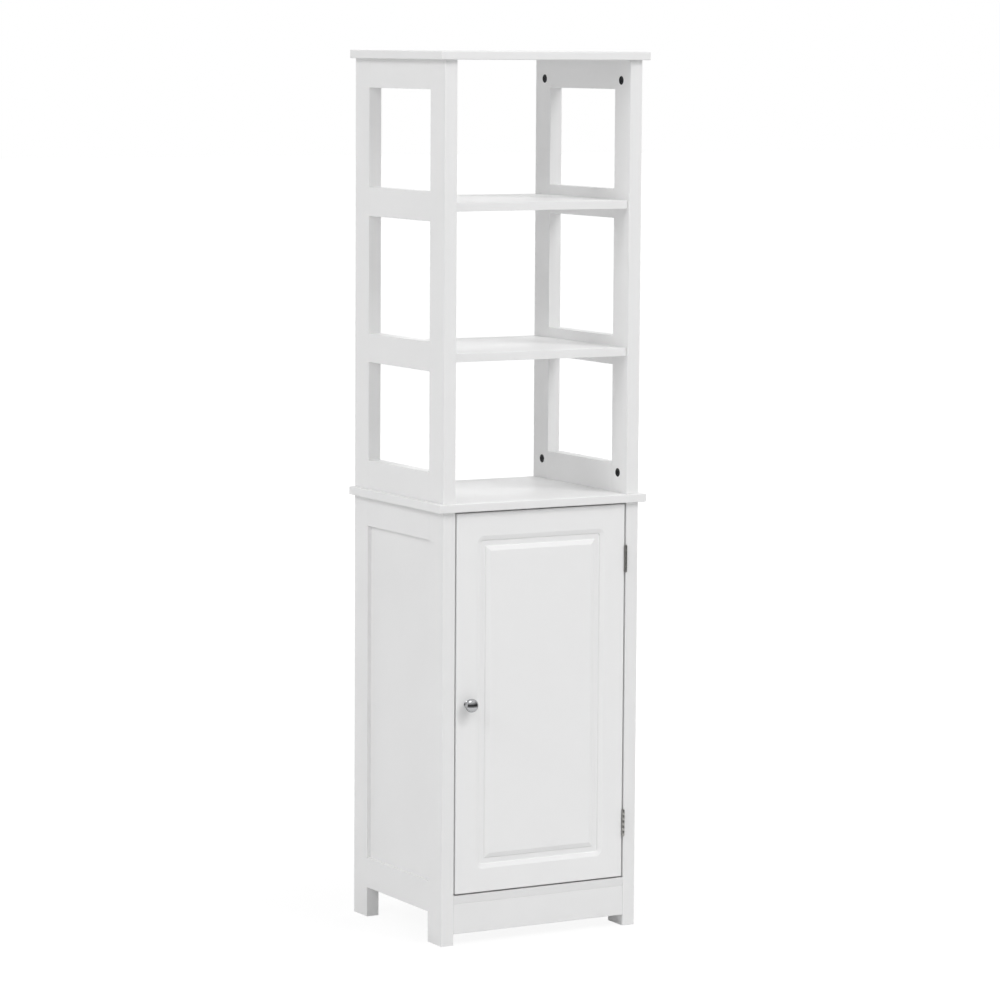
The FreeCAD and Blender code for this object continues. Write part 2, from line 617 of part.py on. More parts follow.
def leg(side, end):
    low_y = "Place.front" if end == "front" else "Place.back - Size.leg_width"
    upright = Board(
        f"{side}_{end}_leg",
        ("Size.frame_thickness", "Size.leg_width", "Place.middle_under"),
        (frame_low_x(side), low_y, "0"),
        "Size.sawn_edge_radius",
    )
    inside = INNER_FACE[side]
    line_y = from_end(end, "Size.leg_width", "Size.fixing_inset")
    line_x = from_inner_face(side, "Size.cam_axis_depth")
    cam = (line_y, "Place.middle_under - Size.cam_distance")
    upright.drill(inside, "Place.cam_hole_radius", "Place.cam_hole_depth", (cam,))
    upright.drill("top", "Size.bolt_bore_radius", "Size.cam_distance", ((line_x, line_y),))
    bottom_bolt = (line_y, "Place.bottom_under + Size.cam_axis_depth")
    upright.drill(inside, "Place.bolt_hole_radius", "Place.bolt_hole_depth", (bottom_bolt,))
    pin_holes = [(line_y, f"{PIN_LEVEL} + {step} * Size.pin_hole_pitch") for step in (-1, 0, 1)]
    upright.drill(inside, "Size.shelf_pin_radius + Size.fit_clearance", "Size.pin_hole_depth", pin_holes)
    low_x, high_x = groove_x(side)
    groove_low = "Size.side_bottom_rail_lift + Size.tenon_shoulder - Size.joint_clearance"
    joint_face = "back" if end == "front" else "front"
    upright.mill(joint_face, (low_x, groove_low), (high_x, "Place.middle_under"), "Place.groove_depth")
    if end == "back":
        back_y = "Size.leg_width - Size.back_panel_setback + Size.joint_clearance"
        front_y = f"{back_y} - Size.back_panel_thickness - 2 * Size.joint_clearance"
        low = (front_y, "Place.bottom_under")
        upright.mill(inside, low, (back_y, "Place.middle_under"), "Size.back_groove_depth")
    else:
        dowels = [("Size.front_rail_thickness / 2", up) for up in FRONT_DOWELS]
        upright.drill(inside, "Place.dowel_hole_radius", "Place.dowel_face_hole", dowels)
    if side == "right" and end == "front":
        screws = [(HINGE_SCREW_Y, up) for up in HINGE_SCREWS]
        upright.drill(inside, "Place.screw_hole_radius", "Place.screw_hole_depth", screws)


def side_rail(side, level):
    width = f"Size.side_{level}_rail_width"
    low = "Place.side_top_rail_low" if level == "top" else "Size.side_bottom_rail_lift"
    rail = Board(
        f"{side}_side_{level}_rail",
        ("Size.frame_thickness", "Place.side_length", width),
        (frame_low_x(side), "Place.front + Size.leg_width", low),
        "Size.sawn_edge_radius",
    )
    low_x, high_x = groove_x(side)
    tongue_x = from_outer_face(side, "Size.panel_recess", "Size.panel_recess + Size.panel_thickness")
    if level == "top":
        rail.mill("bottom", (low_x, "0"), (high_x, "Place.side_length"), "Place.groove_depth")
        tongue_z = ("Place.groove_depth", f"{width} - Size.tenon_shoulder")
    else:
        rail.mill("top", (low_x, "0"), (high_x, "Place.side_length"), "Place.groove_depth")
        tongue_z = ("Size.tenon_shoulder", f"{width} - Place.groove_depth")
    rail.tongue((tongue_x[0], tongue_z[0]), (tongue_x[1], tongue_z[1]), "Place.tongue_length")
    if level == "bottom":
        dowel_z = "Place.bottom_under + Size.bottom_board_thickness / 2 - Size.side_bottom_rail_lift"
        dowel = ("Place.side_length / 2", dowel_z)
        rail.drill(INNER_FACE[side], "Place.dowel_hole_radius", "Place.dowel_face_hole", (dowel,))


def side_panel(side):
    low_x, _ = from_outer_face(side, "Size.panel_recess", "Size.panel_recess + Size.panel_thickness")
    Board(
        f"{side}_side_panel",
        ("Size.panel_thickness", "Place.side_length + 2 * Place.panel_entry", "Place.panel_height"),
        (
            f"{frame_low_x(side)} + {low_x}",
            "Place.front + Size.leg_width - Place.panel_entry",
            "Place.side_bottom_rail_top - Place.panel_entry",
        ),
    )


for side in SIDES:
    for end in ("front", "back"):
        leg(side, end)
    for level in ("top", "bottom"):
        side_rail(side, level)
    side_panel(side)


# Floor, base rail and thin back of the cupboard

board_between_frames(
    "bottom_board",
    "Place.back_panel_front - Place.front",
    "Size.bottom_board_thickness",
    ("-Place.inner", "Place.front", "Place.bottom_under"),
    "Size.bottom_board_thickness / 2",
)

front_base_rail = Board(
    "front_base_rail",
    ("2 * Place.inner", "Size.front_rail_thickness", "Size.front_rail_height"),
    ("-Place.inner", "Place.front", "Size.front_rail_lift"),
    "Size.base_rail_edge_radius",
)
front_rail_ends = [("Size.front_rail_thickness / 2", f"{up} - Size.front_rail_lift") for up in FRONT_DOWELS]
for face in ("left", "right"):
    front_base_rail.drill(face, "Place.dowel_hole_radius", "Place.dowel_end_hole", front_rail_ends)

Board(
    "back_panel",
    (
        "2 * (Place.inner + Place.back_panel_entry)",
        "Size.back_panel_thickness",
        "Place.middle_under - Place.bottom_under",
    ),
    ("-Place.inner - Place.back_panel_entry", "Place.back_panel_front", "Place.bottom_under"),
)


# Shelf in the cupboard, loose on four pins

inner_shelf_front = "Place.door_back + Size.inner_shelf_setback"
Board(
    "inner_shelf",
    (
        "2 * (Place.inner - Size.inner_shelf_play)",
        f"Place.shelf_back - ({inner_shelf_front})",
        "Size.shelf_thickness",
    ),
    ("Size.inner_shelf_play - Place.inner", inner_shelf_front, "Size.inner_shelf_height"),
    "Size.sawn_edge_radius",
)


# Door: a slab with a moulding routed round a raised field. The cutter's section runs along the four sides
# and turns about each corner, which leaves the outer corners round and the field's own corners sharp.

door = Board(
    "door",
    ("Place.door_width", "Size.door_thickness", "Place.door_height"),
    ("-Place.door_width / 2", "Place.front", "Place.door_low"),
    "Size.door_edge_radius",
)
curve_across = "Place.moulding_radius + Place.moulding_ease"
curve_deep = "Size.moulding_edge_radius"
tilt = value("Place.moulding_tilt")
# Right side of the section from the face down to the floor, then the left side back up
right_side = (
    (curve_across, curve_deep, -90, -90 - tilt),
    ("Place.moulding_foot", "Size.moulding_slope_depth"),
    ("Size.moulding_floor / 2", "Size.moulding_depth"),
)
left_side = (
    ("-Size.moulding_floor / 2", "Size.moulding_depth"),
    ("-Place.moulding_foot", "Size.moulding_slope_depth"),
    (f"-({curve_across})", curve_deep, tilt - 90, -90),
)
on_the_face = ("0", "0")
on_the_floor = ("0", "Size.moulding_depth")
upright_runs = sketch_on(door.body, "XY_Plane", "Place.moulding_line")
for middle in ("Place.moulding_line", "Place.moulding_right"):
    section = [(f"{middle} + {across}", deep, *angles) for across, deep, *angles in right_side + left_side]
    curved_outline(upright_runs, "Size.moulding_edge_radius", section)
pocket(door.body, upright_runs, "Place.moulding_high - Place.moulding_line", reverse=True)
level_runs = sketch_on(door.body, "YZ_Plane", "Place.moulding_line")
for middle in ("Place.moulding_line", "Place.moulding_high"):
    section = [
        (deep, f"{middle} + {across}", *(90 - angle for angle in angles))
        for across, deep, *angles in right_side + left_side
    ]
    curved_outline(level_runs, "Size.moulding_edge_radius", section)
pocket(door.body, level_runs, "Place.moulding_right - Place.moulding_line", reverse=True)
for across, half_section, high_is_reversed in (
    ("Place.moulding_right", (on_the_face, *right_side, on_the_floor), True),
    ("Place.moulding_line", (on_the_floor, *left_side, on_the_face), False),
):
    for up, is_high in (("Place.moulding_line", False), ("Place.moulding_high", True)):
        corner = sketch_on(door.body, "XY_Plane", up)
        corner.setExpression("AttachmentOffset.Base.x", across)
        curved_outline(corner, "Size.moulding_edge_radius", half_section)
        turn = door.body.newObject("PartDesign::Groove", "door_moulding_corner")
        turn.Profile = corner
        turn.ReferenceAxis = (corner, ["V_Axis"])
        turn.Angle = 90
        turn.Reversed = is_high == high_is_reversed
        cuts.append(turn)
knob_hole = ("Size.knob_inset", "Place.door_height / 2")
door.drill("front", "Place.knob_hole_radius", "Size.door_thickness", (knob_hole,))
door_screws = [(HINGE_SCREW_Y, f"{up} - Place.door_low") for up in HINGE_SCREWS]
door.drill("right", "Place.screw_hole_radius", "Place.screw_hole_depth", door_screws)
strike_hole = ("Place.door_width / 2 + Place.catch_middle", "Place.catch_axis - Place.door_low")
door.drill("back", "Place.screw_hole_radius", "Place.screw_hole_depth", (strike_hole,))


# Knob: flared foot and neck turned from one profile, with a flattened ball as its head

knob = new_body("knob")
knob_head_middle = "Size.knob_lift + Size.knob_head_depth / 2"
turned(knob, (
    ("0", "0"),
    ("Size.knob_base_radius", "0"),
    ("Size.knob_base_radius", "Size.knob_base_height"),
    ("Size.knob_neck_radius", "Size.knob_base_height + Size.knob_flare"),
    ("Size.knob_neck_radius", knob_head_middle),
    ("0", knob_head_middle),
))
knob_head = knob.newObject("PartDesign::AdditiveEllipsoid", "knob_head")
knob_head.setExpression("Radius1", "Size.knob_head_depth / 2")
knob_head.setExpression("Radius2", "Size.knob_head_radius")
knob_head.setExpression("Radius3", "Size.knob_head_radius")
knob_head.setExpression("Placement.Base.z", knob_head_middle)
knob_bore = sketch_on(knob, "XY_Plane")
circles(knob_bore, "Place.knob_hole_radius", (("0", "0"),))
pocket(knob, knob_bore, "Size.knob_screw_grip + Size.hole_end_clearance", reverse=True)
OUTWARDS = FreeCAD.Rotation(X, 90)
place(knob, ("Place.knob_axis", "Place.front", "Place.knob_height"), OUTWARDS)
pieces.append(knob)

knob_screw = new_body("knob_screw")
turned(knob_screw, (
    ("0", "-Size.knob_screw_head_height"),
    ("Size.knob_screw_head_radius", "-Size.knob_screw_head_height"),
    ("Size.knob_screw_head_radius", "0"),
    ("Size.knob_screw_radius", "0"),
    ("Size.knob_screw_radius", "Size.door_thickness + Size.knob_screw_grip"),
    ("0", "Size.door_thickness + Size.knob_screw_grip"),
))
place(knob_screw, ("Place.knob_axis", "Place.door_back", "Place.knob_height"), OUTWARDS)
pieces.append(knob_screw)


# Butt hinges: two leaves whose knuckles alternate on a pin, three on the frame and two on the door

def hinge_leaf(label, low, side, own_knuckles):
    leaf = new_body(label)
    plate = sketch_on(leaf, "XY_Plane")
    near = f"{side} * (Size.door_gap / 2 - Size.plate_thickness)"
    far = f"{side} * Size.door_gap / 2"
    rectangle(plate, (near, "0"), (far, "Size.leaf_width"))
    pad(leaf, plate, "Size.hinge_length")
    barrel = sketch_on(leaf, "XY_Plane")
    circles(barrel, "Size.barrel_radius", (("0", "0"),))
    pad(leaf, barrel, "Size.hinge_length")
    notch_side = "(Size.barrel_radius + Size.knuckle_gap)"
    notches = sketch_on(leaf, "YZ_Plane", notch_side)
    for knuckle in range(KNUCKLES):
        if knuckle not in own_knuckles:
            low_z = f"{knuckle} * Place.knuckle - Size.knuckle_gap / 2"
            high_z = f"{knuckle + 1} * Place.knuckle + Size.knuckle_gap / 2"
            rectangle(notches, (f"-{notch_side}", low_z), (notch_side, high_z))
    pocket(leaf, notches, f"2 * {notch_side}")
    bore = sketch_on(leaf, "XY_Plane")
    circles(bore, "Size.hinge_pin_radius + Size.hinge_pin_clearance", (("0", "0"),))
    pocket(leaf, bore, "Size.hinge_length", reverse=True)
    countersinks = sketch_on(leaf, "YZ_Plane", near)
    circles(countersinks, "Place.countersink_radius", [("Size.hinge_screw_offset", up) for up in LEAF_SCREWS])
    taper = "-Place.countersink_angle"
    pocket(leaf, countersinks, "Size.plate_thickness", reverse=side > 0, taper=taper)
    place(leaf, ("Place.pin_axis", "Place.pin_front", low))
    pieces.append(leaf)


def hinge_pin(label, low):
    pin = new_body(label)
    head = "Size.hinge_pin_head_height"
    turned(pin, (
        ("0", f"-{head}"),
        ("Size.hinge_pin_radius", f"-{head}"),
        ("Size.hinge_pin_head_radius", f"-{head} / 2"),
        ("Size.hinge_pin_head_radius", "0"),
        ("Size.hinge_pin_radius", "0"),
        ("Size.hinge_pin_radius", "Size.hinge_length"),
        ("Size.hinge_pin_head_radius", "Size.hinge_length"),
        ("Size.hinge_pin_head_radius", f"Size.hinge_length + {head} / 2"),
        ("Size.hinge_pin_radius", f"Size.hinge_length + {head}"),
        ("0", f"Size.hinge_length + {head}"),
    ))
    place(pin, ("Place.pin_axis", "Place.pin_front", low))
    pieces.append(pin)


for name, low in HINGES.items():
    hinge_leaf(f"{name}_hinge_frame_leaf", low, 1, (0, 2, 4))
    hinge_leaf(f"{name}_hinge_door_leaf", low, -1, (1, 3))
    hinge_pin(f"{name}_hinge_pin", low)


# Magnetic catch under the middle board, and its strike plate on the door

catch_housing = new_body("catch_housing")
catch_profile = sketch_on(catch_housing, "XZ_Plane")
half_block = "Size.catch_width / 2"
half_ears = "Place.catch_half_width"
outline(catch_profile, (
    (f"-{half_ears}", "-Size.catch_ear_thickness"),
    (f"-{half_block}", "-Size.catch_ear_thickness"),
    (f"-{half_block}", "-Size.catch_height"),
    (half_block, "-Size.catch_height"),
    (half_block, "-Size.catch_ear_thickness"),
    (half_ears, "-Size.catch_ear_thickness"),
    (half_ears, "0"),
    (f"-{half_ears}", "0"),
))
pad(catch_housing, catch_profile, "Size.catch_depth", reverse=True)
magnet_space = sketch_on(catch_housing, "XZ_Plane")
half_space = "(Size.magnet_width / 2 + Size.pole_thickness + Size.joint_clearance)"
half_tall = "(Size.magnet_height / 2 + Size.joint_clearance)"
rectangle(
    magnet_space,
    (f"-{half_space}", f"Place.catch_axis - Place.middle_under - {half_tall}"),
    (half_space, f"Place.catch_axis - Place.middle_under + {half_tall}"),
)
pocket(catch_housing, magnet_space, "Size.magnet_depth + Size.joint_clearance")
ear_middle = "(Size.catch_width + Size.catch_ear) / 2"
ear_holes = sketch_on(catch_housing, "XY_Plane", "-Size.catch_ear_thickness")
ear_centres = ((f"-{ear_middle}", "Size.catch_depth / 2"), (ear_middle, "Size.catch_depth / 2"))
circles(ear_holes, "Place.screw_hole_radius", ear_centres)
pocket(catch_housing, ear_holes, "Size.catch_ear_thickness", reverse=True)
ear_countersinks = sketch_on(catch_housing, "XY_Plane", "-Size.catch_ear_thickness")
circles(ear_countersinks, "Place.countersink_radius", ear_centres)
pocket(
    catch_housing,
    ear_countersinks,
    "Size.plate_thickness",
    reverse=True,
    taper="-Place.countersink_angle",
)
place(catch_housing, ("Place.catch_middle", "Place.catch_front", "Place.middle_under"))
pieces.append(catch_housing)

Board(
    "catch_magnet",
    ("Size.magnet_width", "Size.magnet_depth", "Size.magnet_height"),
    (
        "Place.catch_middle - Size.magnet_width / 2",
        "Place.catch_front",
        "Place.catch_axis - Size.magnet_height / 2",
    ),
)

strike_plate = new_body("strike_plate")
strike_outline = sketch_on(strike_plate, "XZ_Plane")
rectangle(
    strike_outline,
    ("-Size.strike_width / 2", "-Size.strike_height / 2"),
    ("Size.strike_width / 2", "Size.strike_height / 2"),
)
pad(strike_plate, strike_outline, "Size.plate_thickness", reverse=True)
strike_countersink = sketch_on(strike_plate, "XZ_Plane", "-Size.plate_thickness")
circles(strike_countersink, "Place.countersink_radius", (("0", "0"),))
pocket(
    strike_plate,
    strike_countersink,
    "Size.plate_thickness",
    reverse=True,
    taper="-Place.countersink_angle",
)
place(strike_plate, ("Place.catch_middle", "Place.door_back", "Place.catch_axis"))
pieces.append(strike_plate)


# Fasteners: one pattern piece each, set wherever the cabinet needs it

def axes(across, out):
    """Rotation that lays a pattern piece's X along one direction and its Z along another."""
    return FreeCAD.Rotation(across, out.cross(across), out, "ZXY")


def group(label, pattern, places):
    """Separate copies of a pattern piece, each at three expressions and a rotation."""
    copies = []
    for position, rotation in places:
        copy = doc.addObject("App::Link", f"{label}_copy")
        copy.LinkedObject = pattern
        copy.LinkTransform = False
        place(copy, position, rotation)
        copies.append(copy)
    compound = doc.addObject("Part::Compound", label)
    compound.Label = label
    compound.Links = copies
    pieces.append(compound)


FIXING_LINES = ("Place.front + Size.fixing_inset", "Place.back - Size.fixing_inset")
HELD_BOARDS = (*SHELVES.values(), "Place.bottom_under")

cam_nut = new_body("cam_nut")
cam_round = sketch_on(cam_nut, "XY_Plane")
circles(cam_round, "Size.cam_radius", (("0", "0"),))
pad(cam_nut, cam_round, "Size.cam_length", reverse=True)
cam_mouth = sketch_on(cam_nut, "YZ_Plane", "Size.cam_radius")
circles(cam_mouth, "Size.cam_bore_radius", (("0", "Size.cam_recess - Size.cam_axis_depth"),))
pocket(cam_nut, cam_mouth, "Size.cam_radius + Size.bolt_head_length")
for half_x, half_y in (
    ("Size.cam_slot_length / 2", "Size.cam_slot_width / 2"),
    ("Size.cam_slot_width / 2", "Size.cam_slot_length / 2"),
):
    cam_slot = sketch_on(cam_nut, "XY_Plane")
    rectangle(cam_slot, (f"-{half_x}", f"-{half_y}"), (half_x, half_y))
    pocket(cam_nut, cam_slot, "Size.cam_slot_depth")

cam_places = []
bolt_places = []
double_bolt_places = []
dowel_places = []
for side, sign in SIDES.items():
    outwards = X * sign
    inwards = X * -sign
    for line in FIXING_LINES:
        face_x = f"{sign} * (Place.inner + Size.cam_recess)"
        for level, bolt_side in (
            ("Place.top_under - Size.cam_distance", Z),
            ("Size.cupboard_height + Size.cam_distance", -Z),
            ("Place.middle_under - Size.cam_distance", Z),
        ):
            cam_places.append(((face_x, line, level), axes(bolt_side, inwards)))
        for low in HELD_BOARDS:
            cam_x = f"{sign} * (Place.inner - Size.cam_distance)"
            cam_places.append(((cam_x, line, f"{low} + Size.cam_recess"), axes(outwards, -Z)))
            end = (f"{sign} * Place.inner", line, f"{low} + Size.cam_axis_depth")
            bolt_places.append((end, axes(Z, inwards)))
        upright_x = f"{sign} * Place.bolt_line"
        bolt_places.append(((upright_x, line, "Place.top_under"), axes(X, -Z)))
        middle_z = "Place.middle_under + Size.middle_board_thickness / 2"
        double_bolt_places.append(((upright_x, line, middle_z), axes(X, Z)))
    rail_x = f"{sign} * (Place.outer - Size.frame_thickness / 2)"
    dowel_places.append(((rail_x, "Place.middle", "Place.top_under"), axes(X, Z)))
    joint_x = f"{sign} * Place.inner"
    for low in SHELVES.values():
        joint = (joint_x, "Place.middle", f"{low} + Size.shelf_thickness / 2")
        dowel_places.append((joint, axes(Z, outwards)))
    joint = (joint_x, "Place.middle", "Place.bottom_under + Size.bottom_board_thickness / 2")
    dowel_places.append((joint, axes(Z, outwards)))
    for up in FRONT_DOWELS:
        joint = (joint_x, "Place.front + Size.front_rail_thickness / 2", up)
        dowel_places.append((joint, axes(Z, outwards)))

group("cam_nuts", cam_nut, cam_places)


def bolt_end(reach):
    """Head end of a cam bolt, out from the axis, ending a little past the middle of the cam."""
    head_top = f"{reach} + Size.bolt_head_length / 2"
    head_low = f"{reach} - Size.bolt_head_length / 2"
    neck_low = f"{head_low} - Size.bolt_neck_length"
    return (
        ("Size.bolt_radius", neck_low),
        ("Size.bolt_neck_radius", neck_low),
        ("Size.bolt_neck_radius", head_low),
        ("Size.bolt_radius", head_low),
        ("Size.bolt_radius", head_top),
        ("0", head_top),
    )


cam_bolt = new_body("cam_bolt")
turned(cam_bolt, (
    ("0", "-Size.bolt_grip"),
    ("Size.bolt_thread_radius", "-Size.bolt_grip"),
    ("Size.bolt_thread_radius", "0"),
    ("Size.bolt_radius", "0"),
    *bolt_end("Size.cam_distance"),
))
group("cam_bolts", cam_bolt, bolt_places)

double_cam_bolt = new_body("double_cam_bolt")
upper_end = bolt_end("Size.middle_board_thickness / 2 + Size.cam_distance")
lower_end = [(radius, f"-({up})") for radius, up in reversed(upper_end)]
turned(double_cam_bolt, (*lower_end, *upper_end))
group("double_cam_bolts", double_cam_bolt, double_bolt_places)

wood_dowel = new_body("wood_dowel")
turned(wood_dowel, (
    ("0", "-Place.dowel_end_depth"),
    ("Size.dowel_radius - Size.dowel_chamfer", "-Place.dowel_end_depth"),
    ("Size.dowel_radius", "Size.dowel_chamfer - Place.dowel_end_depth"),
    ("Size.dowel_radius", "Size.dowel_face_depth - Size.dowel_chamfer"),
    ("Size.dowel_radius - Size.dowel_chamfer", "Size.dowel_face_depth"),
    ("0", "Size.dowel_face_depth"),
))
group("wood_dowels", wood_dowel, dowel_places)

wood_screw = new_body("wood_screw")
turned(wood_screw, (
    ("0", "-Size.screw_length"),
    ("Size.screw_radius", "Size.screw_tip - Size.screw_length"),
    ("Size.screw_radius", "-Size.plate_thickness"),
    ("Size.screw_head_radius", "0"),
    ("0", "0"),
))
hinge_screw_y = f"Place.front + {HINGE_SCREW_Y}"
group("hinge_frame_screws", wood_screw, [
    (("Place.inner - Size.plate_thickness", hinge_screw_y, up), axes(Z, -X)) for up in HINGE_SCREWS
])
group("hinge_door_screws", wood_screw, [
    (("Place.inner - Size.door_gap + Size.plate_thickness", hinge_screw_y, up), axes(Z, X))
    for up in HINGE_SCREWS
])
group("catch_screws", wood_screw, [
    (
        (
            f"Place.catch_middle + {sign} * {ear_middle}",
            "Place.catch_front + Size.catch_depth / 2",
            "Place.middle_under - Size.catch_ear_thickness",
        ),
        axes(X, -Z),
    )
    for sign in SIDES.values()
])
group("strike_screw", wood_screw, [
    (("Place.catch_middle", "Place.strike_face", "Place.catch_axis"), axes(X, Y))
])

pole_plate = new_body("pole_plate")
pole_outline = sketch_on(pole_plate, "YZ_Plane", "-Size.pole_thickness / 2")
rectangle(
    pole_outline,
    ("-Size.pole_projection", "-Size.magnet_height / 2"),
    ("Size.magnet_depth", "Size.magnet_height / 2"),
)
pad(pole_plate, pole_outline, "Size.pole_thickness")
group("catch_poles", pole_plate, [
    (
        (
            f"Place.catch_middle + {sign} * (Size.magnet_width + Size.pole_thickness) / 2",
            "Place.catch_front",
            "Place.catch_axis",
        ),
        axes(X, Z),
    )
    for sign in SIDES.values()
])

shelf_pin = new_body("shelf_pin")
pin_round = sketch_on(shelf_pin, "YZ_Plane")
circles(pin_round, "Size.shelf_pin_radius", (("0", "0"),))
pad(shelf_pin, pin_round, "Size.pin_hole_depth - Size.hole_end_clearance")
pin_tab = sketch_on(shelf_pin, "YZ_Plane")
rectangle(
    pin_tab,
    ("-Size.shelf_pin_tab / 2", "-Size.shelf_pin_tab_thickness / 2"),
    ("Size.shelf_pin_tab / 2", "Size.shelf_pin_tab_thickness / 2"),
)
pad(shelf_pin, pin_tab, "Size.shelf_pin_tab", reverse=True)
group("shelf_pins", shelf_pin, [
    ((f"{sign} * Place.inner", line, PIN_LEVEL), axes(X * sign, Z))
    for sign in SIDES.values()
    for line in FIXING_LINES
])


# Check everything before anything is written

doc.recompute()
for item in doc.Objects:
    if "Invalid" in item.State or "Error" in item.State:
        raise RuntimeError(f"{item.Label} failed: {item.State}")
for feature in cuts:
    if feature.Shape.Volume >= feature.BaseFeature.Shape.Volume:
        raise RuntimeError(f"{feature.Label} cuts nothing")
for piece in pieces:
    if piece.Shape.isNull() or not piece.Shape.isValid():
        raise RuntimeError(f"{piece.Label} has no valid shape")

os.makedirs("parts", exist_ok=True)
for piece in pieces:
    piece.Shape.exportStep(f"parts/{piece.Label}.step")
print(len(pieces), "pieces written")
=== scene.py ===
import math

import bpy
from mathutils import Matrix, Vector


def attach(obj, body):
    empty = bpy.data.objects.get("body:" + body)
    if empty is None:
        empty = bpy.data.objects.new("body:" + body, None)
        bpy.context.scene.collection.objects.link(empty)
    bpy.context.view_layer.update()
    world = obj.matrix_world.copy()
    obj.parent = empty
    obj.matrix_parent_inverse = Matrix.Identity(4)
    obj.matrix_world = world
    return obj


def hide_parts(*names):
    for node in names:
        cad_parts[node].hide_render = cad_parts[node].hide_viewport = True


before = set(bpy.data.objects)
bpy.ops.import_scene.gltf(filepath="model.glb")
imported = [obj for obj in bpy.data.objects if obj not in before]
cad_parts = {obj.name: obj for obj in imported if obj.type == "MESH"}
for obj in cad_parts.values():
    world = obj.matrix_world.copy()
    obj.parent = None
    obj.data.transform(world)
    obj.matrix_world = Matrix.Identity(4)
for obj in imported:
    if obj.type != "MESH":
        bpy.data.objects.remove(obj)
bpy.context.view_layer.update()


# Lower side frames
# Two legs and two rails of fibreboard round a thin panel, glued up, primed and sprayed white. The satin paint
# lies a little unevenly, has a faint orange peel, and fills the fine joint round the panel with a bead.

SIDES = ("left", "right")
ENDS = ("front", "back")
# Opening that shows the panel's outer face: how far out it lies, its front, back, lowest and highest edge
PANEL_FACE = 0.18155
PANEL_FRONT = -0.09825
PANEL_BACK = 0.12225
PANEL_LOW = 0.1035
PANEL_HIGH = 0.6810
BEAD_RADIUS = 0.0004
# Corners nearer than this become one, and edges flatter than this are shaded smooth
MERGE_DISTANCE = 0.00001
SMOOTH_ANGLE = math.radians(35)


def linear(hex_colour):
    """Linear colour from an sRGB hex value."""
    channels = [int(hex_colour[start:start + 2], 16) / 255 for start in (1, 3, 5)]
    return (*(c / 12.92 if c <= 0.04045 else ((c + 0.055) / 1.055) ** 2.4 for c in channels), 1.0)


def per_metre(size_mm):
    """Scale of a pattern whose features are a size given in millimetres."""
    return 1000 / size_mm


def add(tree, kind, sockets, **settings):
    """Add a node: sockets gives a value or another node's output for each input, settings its own choices."""
    node = tree.nodes.new(kind)
    for name, choice in settings.items():
        setattr(node, name, choice)
    for name, given in sockets.items():
        if isinstance(given, bpy.types.NodeSocket):
            tree.links.new(given, node.inputs[name])
        else:
            node.inputs[name].default_value = given
    return node


def empty_material(name):
    """New material without nodes, and its node tree."""
    material = bpy.data.materials.new(name)
    material.use_nodes = True
    material.node_tree.nodes.clear()
    return material, material.node_tree


def dress(material, *nodes):
    """Give pieces of the frame their finish."""
    for node in nodes:
        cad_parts[node].material_slots[0].material = material


def sprayed(name, thick_colour, thin_colour):
    """Satin white paint: its colour and gloss drift with its thickness, and its skin has an orange peel.

    The peel is really about 1 mm across and is drawn at 4 mm so that a close view still shows it.
    """
    paint, tree = empty_material(name)
    place = add(tree, "ShaderNodeTexCoord", {}).outputs["Object"]
    flow = add(tree, "ShaderNodeTexNoise", {"Vector": place, "Scale": per_metre(90), "Detail": 3.0})
    # A Mix node takes its colours at inputs 6 and 7 and gives the mixture at output 2
    tint = add(tree, "ShaderNodeMix", {
        0: flow.outputs[0], 6: linear(thick_colour), 7: linear(thin_colour),
    }, data_type="RGBA")
    gloss = add(tree, "ShaderNodeMapRange", {
        "Value": flow.outputs[0], "From Min": 0.3, "From Max": 0.7, "To Min": 0.36, "To Max": 0.46,
    })
    peel = add(tree, "ShaderNodeTexNoise", {"Vector": place, "Scale": per_metre(4), "Detail": 2.0})
    skin = add(tree, "ShaderNodeBump", {"Height": peel.outputs[0], "Strength": 0.2, "Distance": 0.00005})
    coat = add(tree, "ShaderNodeBsdfPrincipled", {
        "Base Color": tint.outputs[2], "Roughness": gloss.outputs[0], "Normal": skin.outputs[0], "IOR": 1.5,
    })
    add(tree, "ShaderNodeOutputMaterial", {"Surface": coat.outputs[0]})
    return paint


satin_paint = sprayed("satin_white_paint_on_fibreboard", "#f2f2f2", "#efefef")
for side in SIDES:
    dress(satin_paint, *(f"{side}_{end}_leg" for end in ENDS))
    dress(satin_paint, f"{side}_side_top_rail", f"{side}_side_bottom_rail", f"{side}_side_panel")

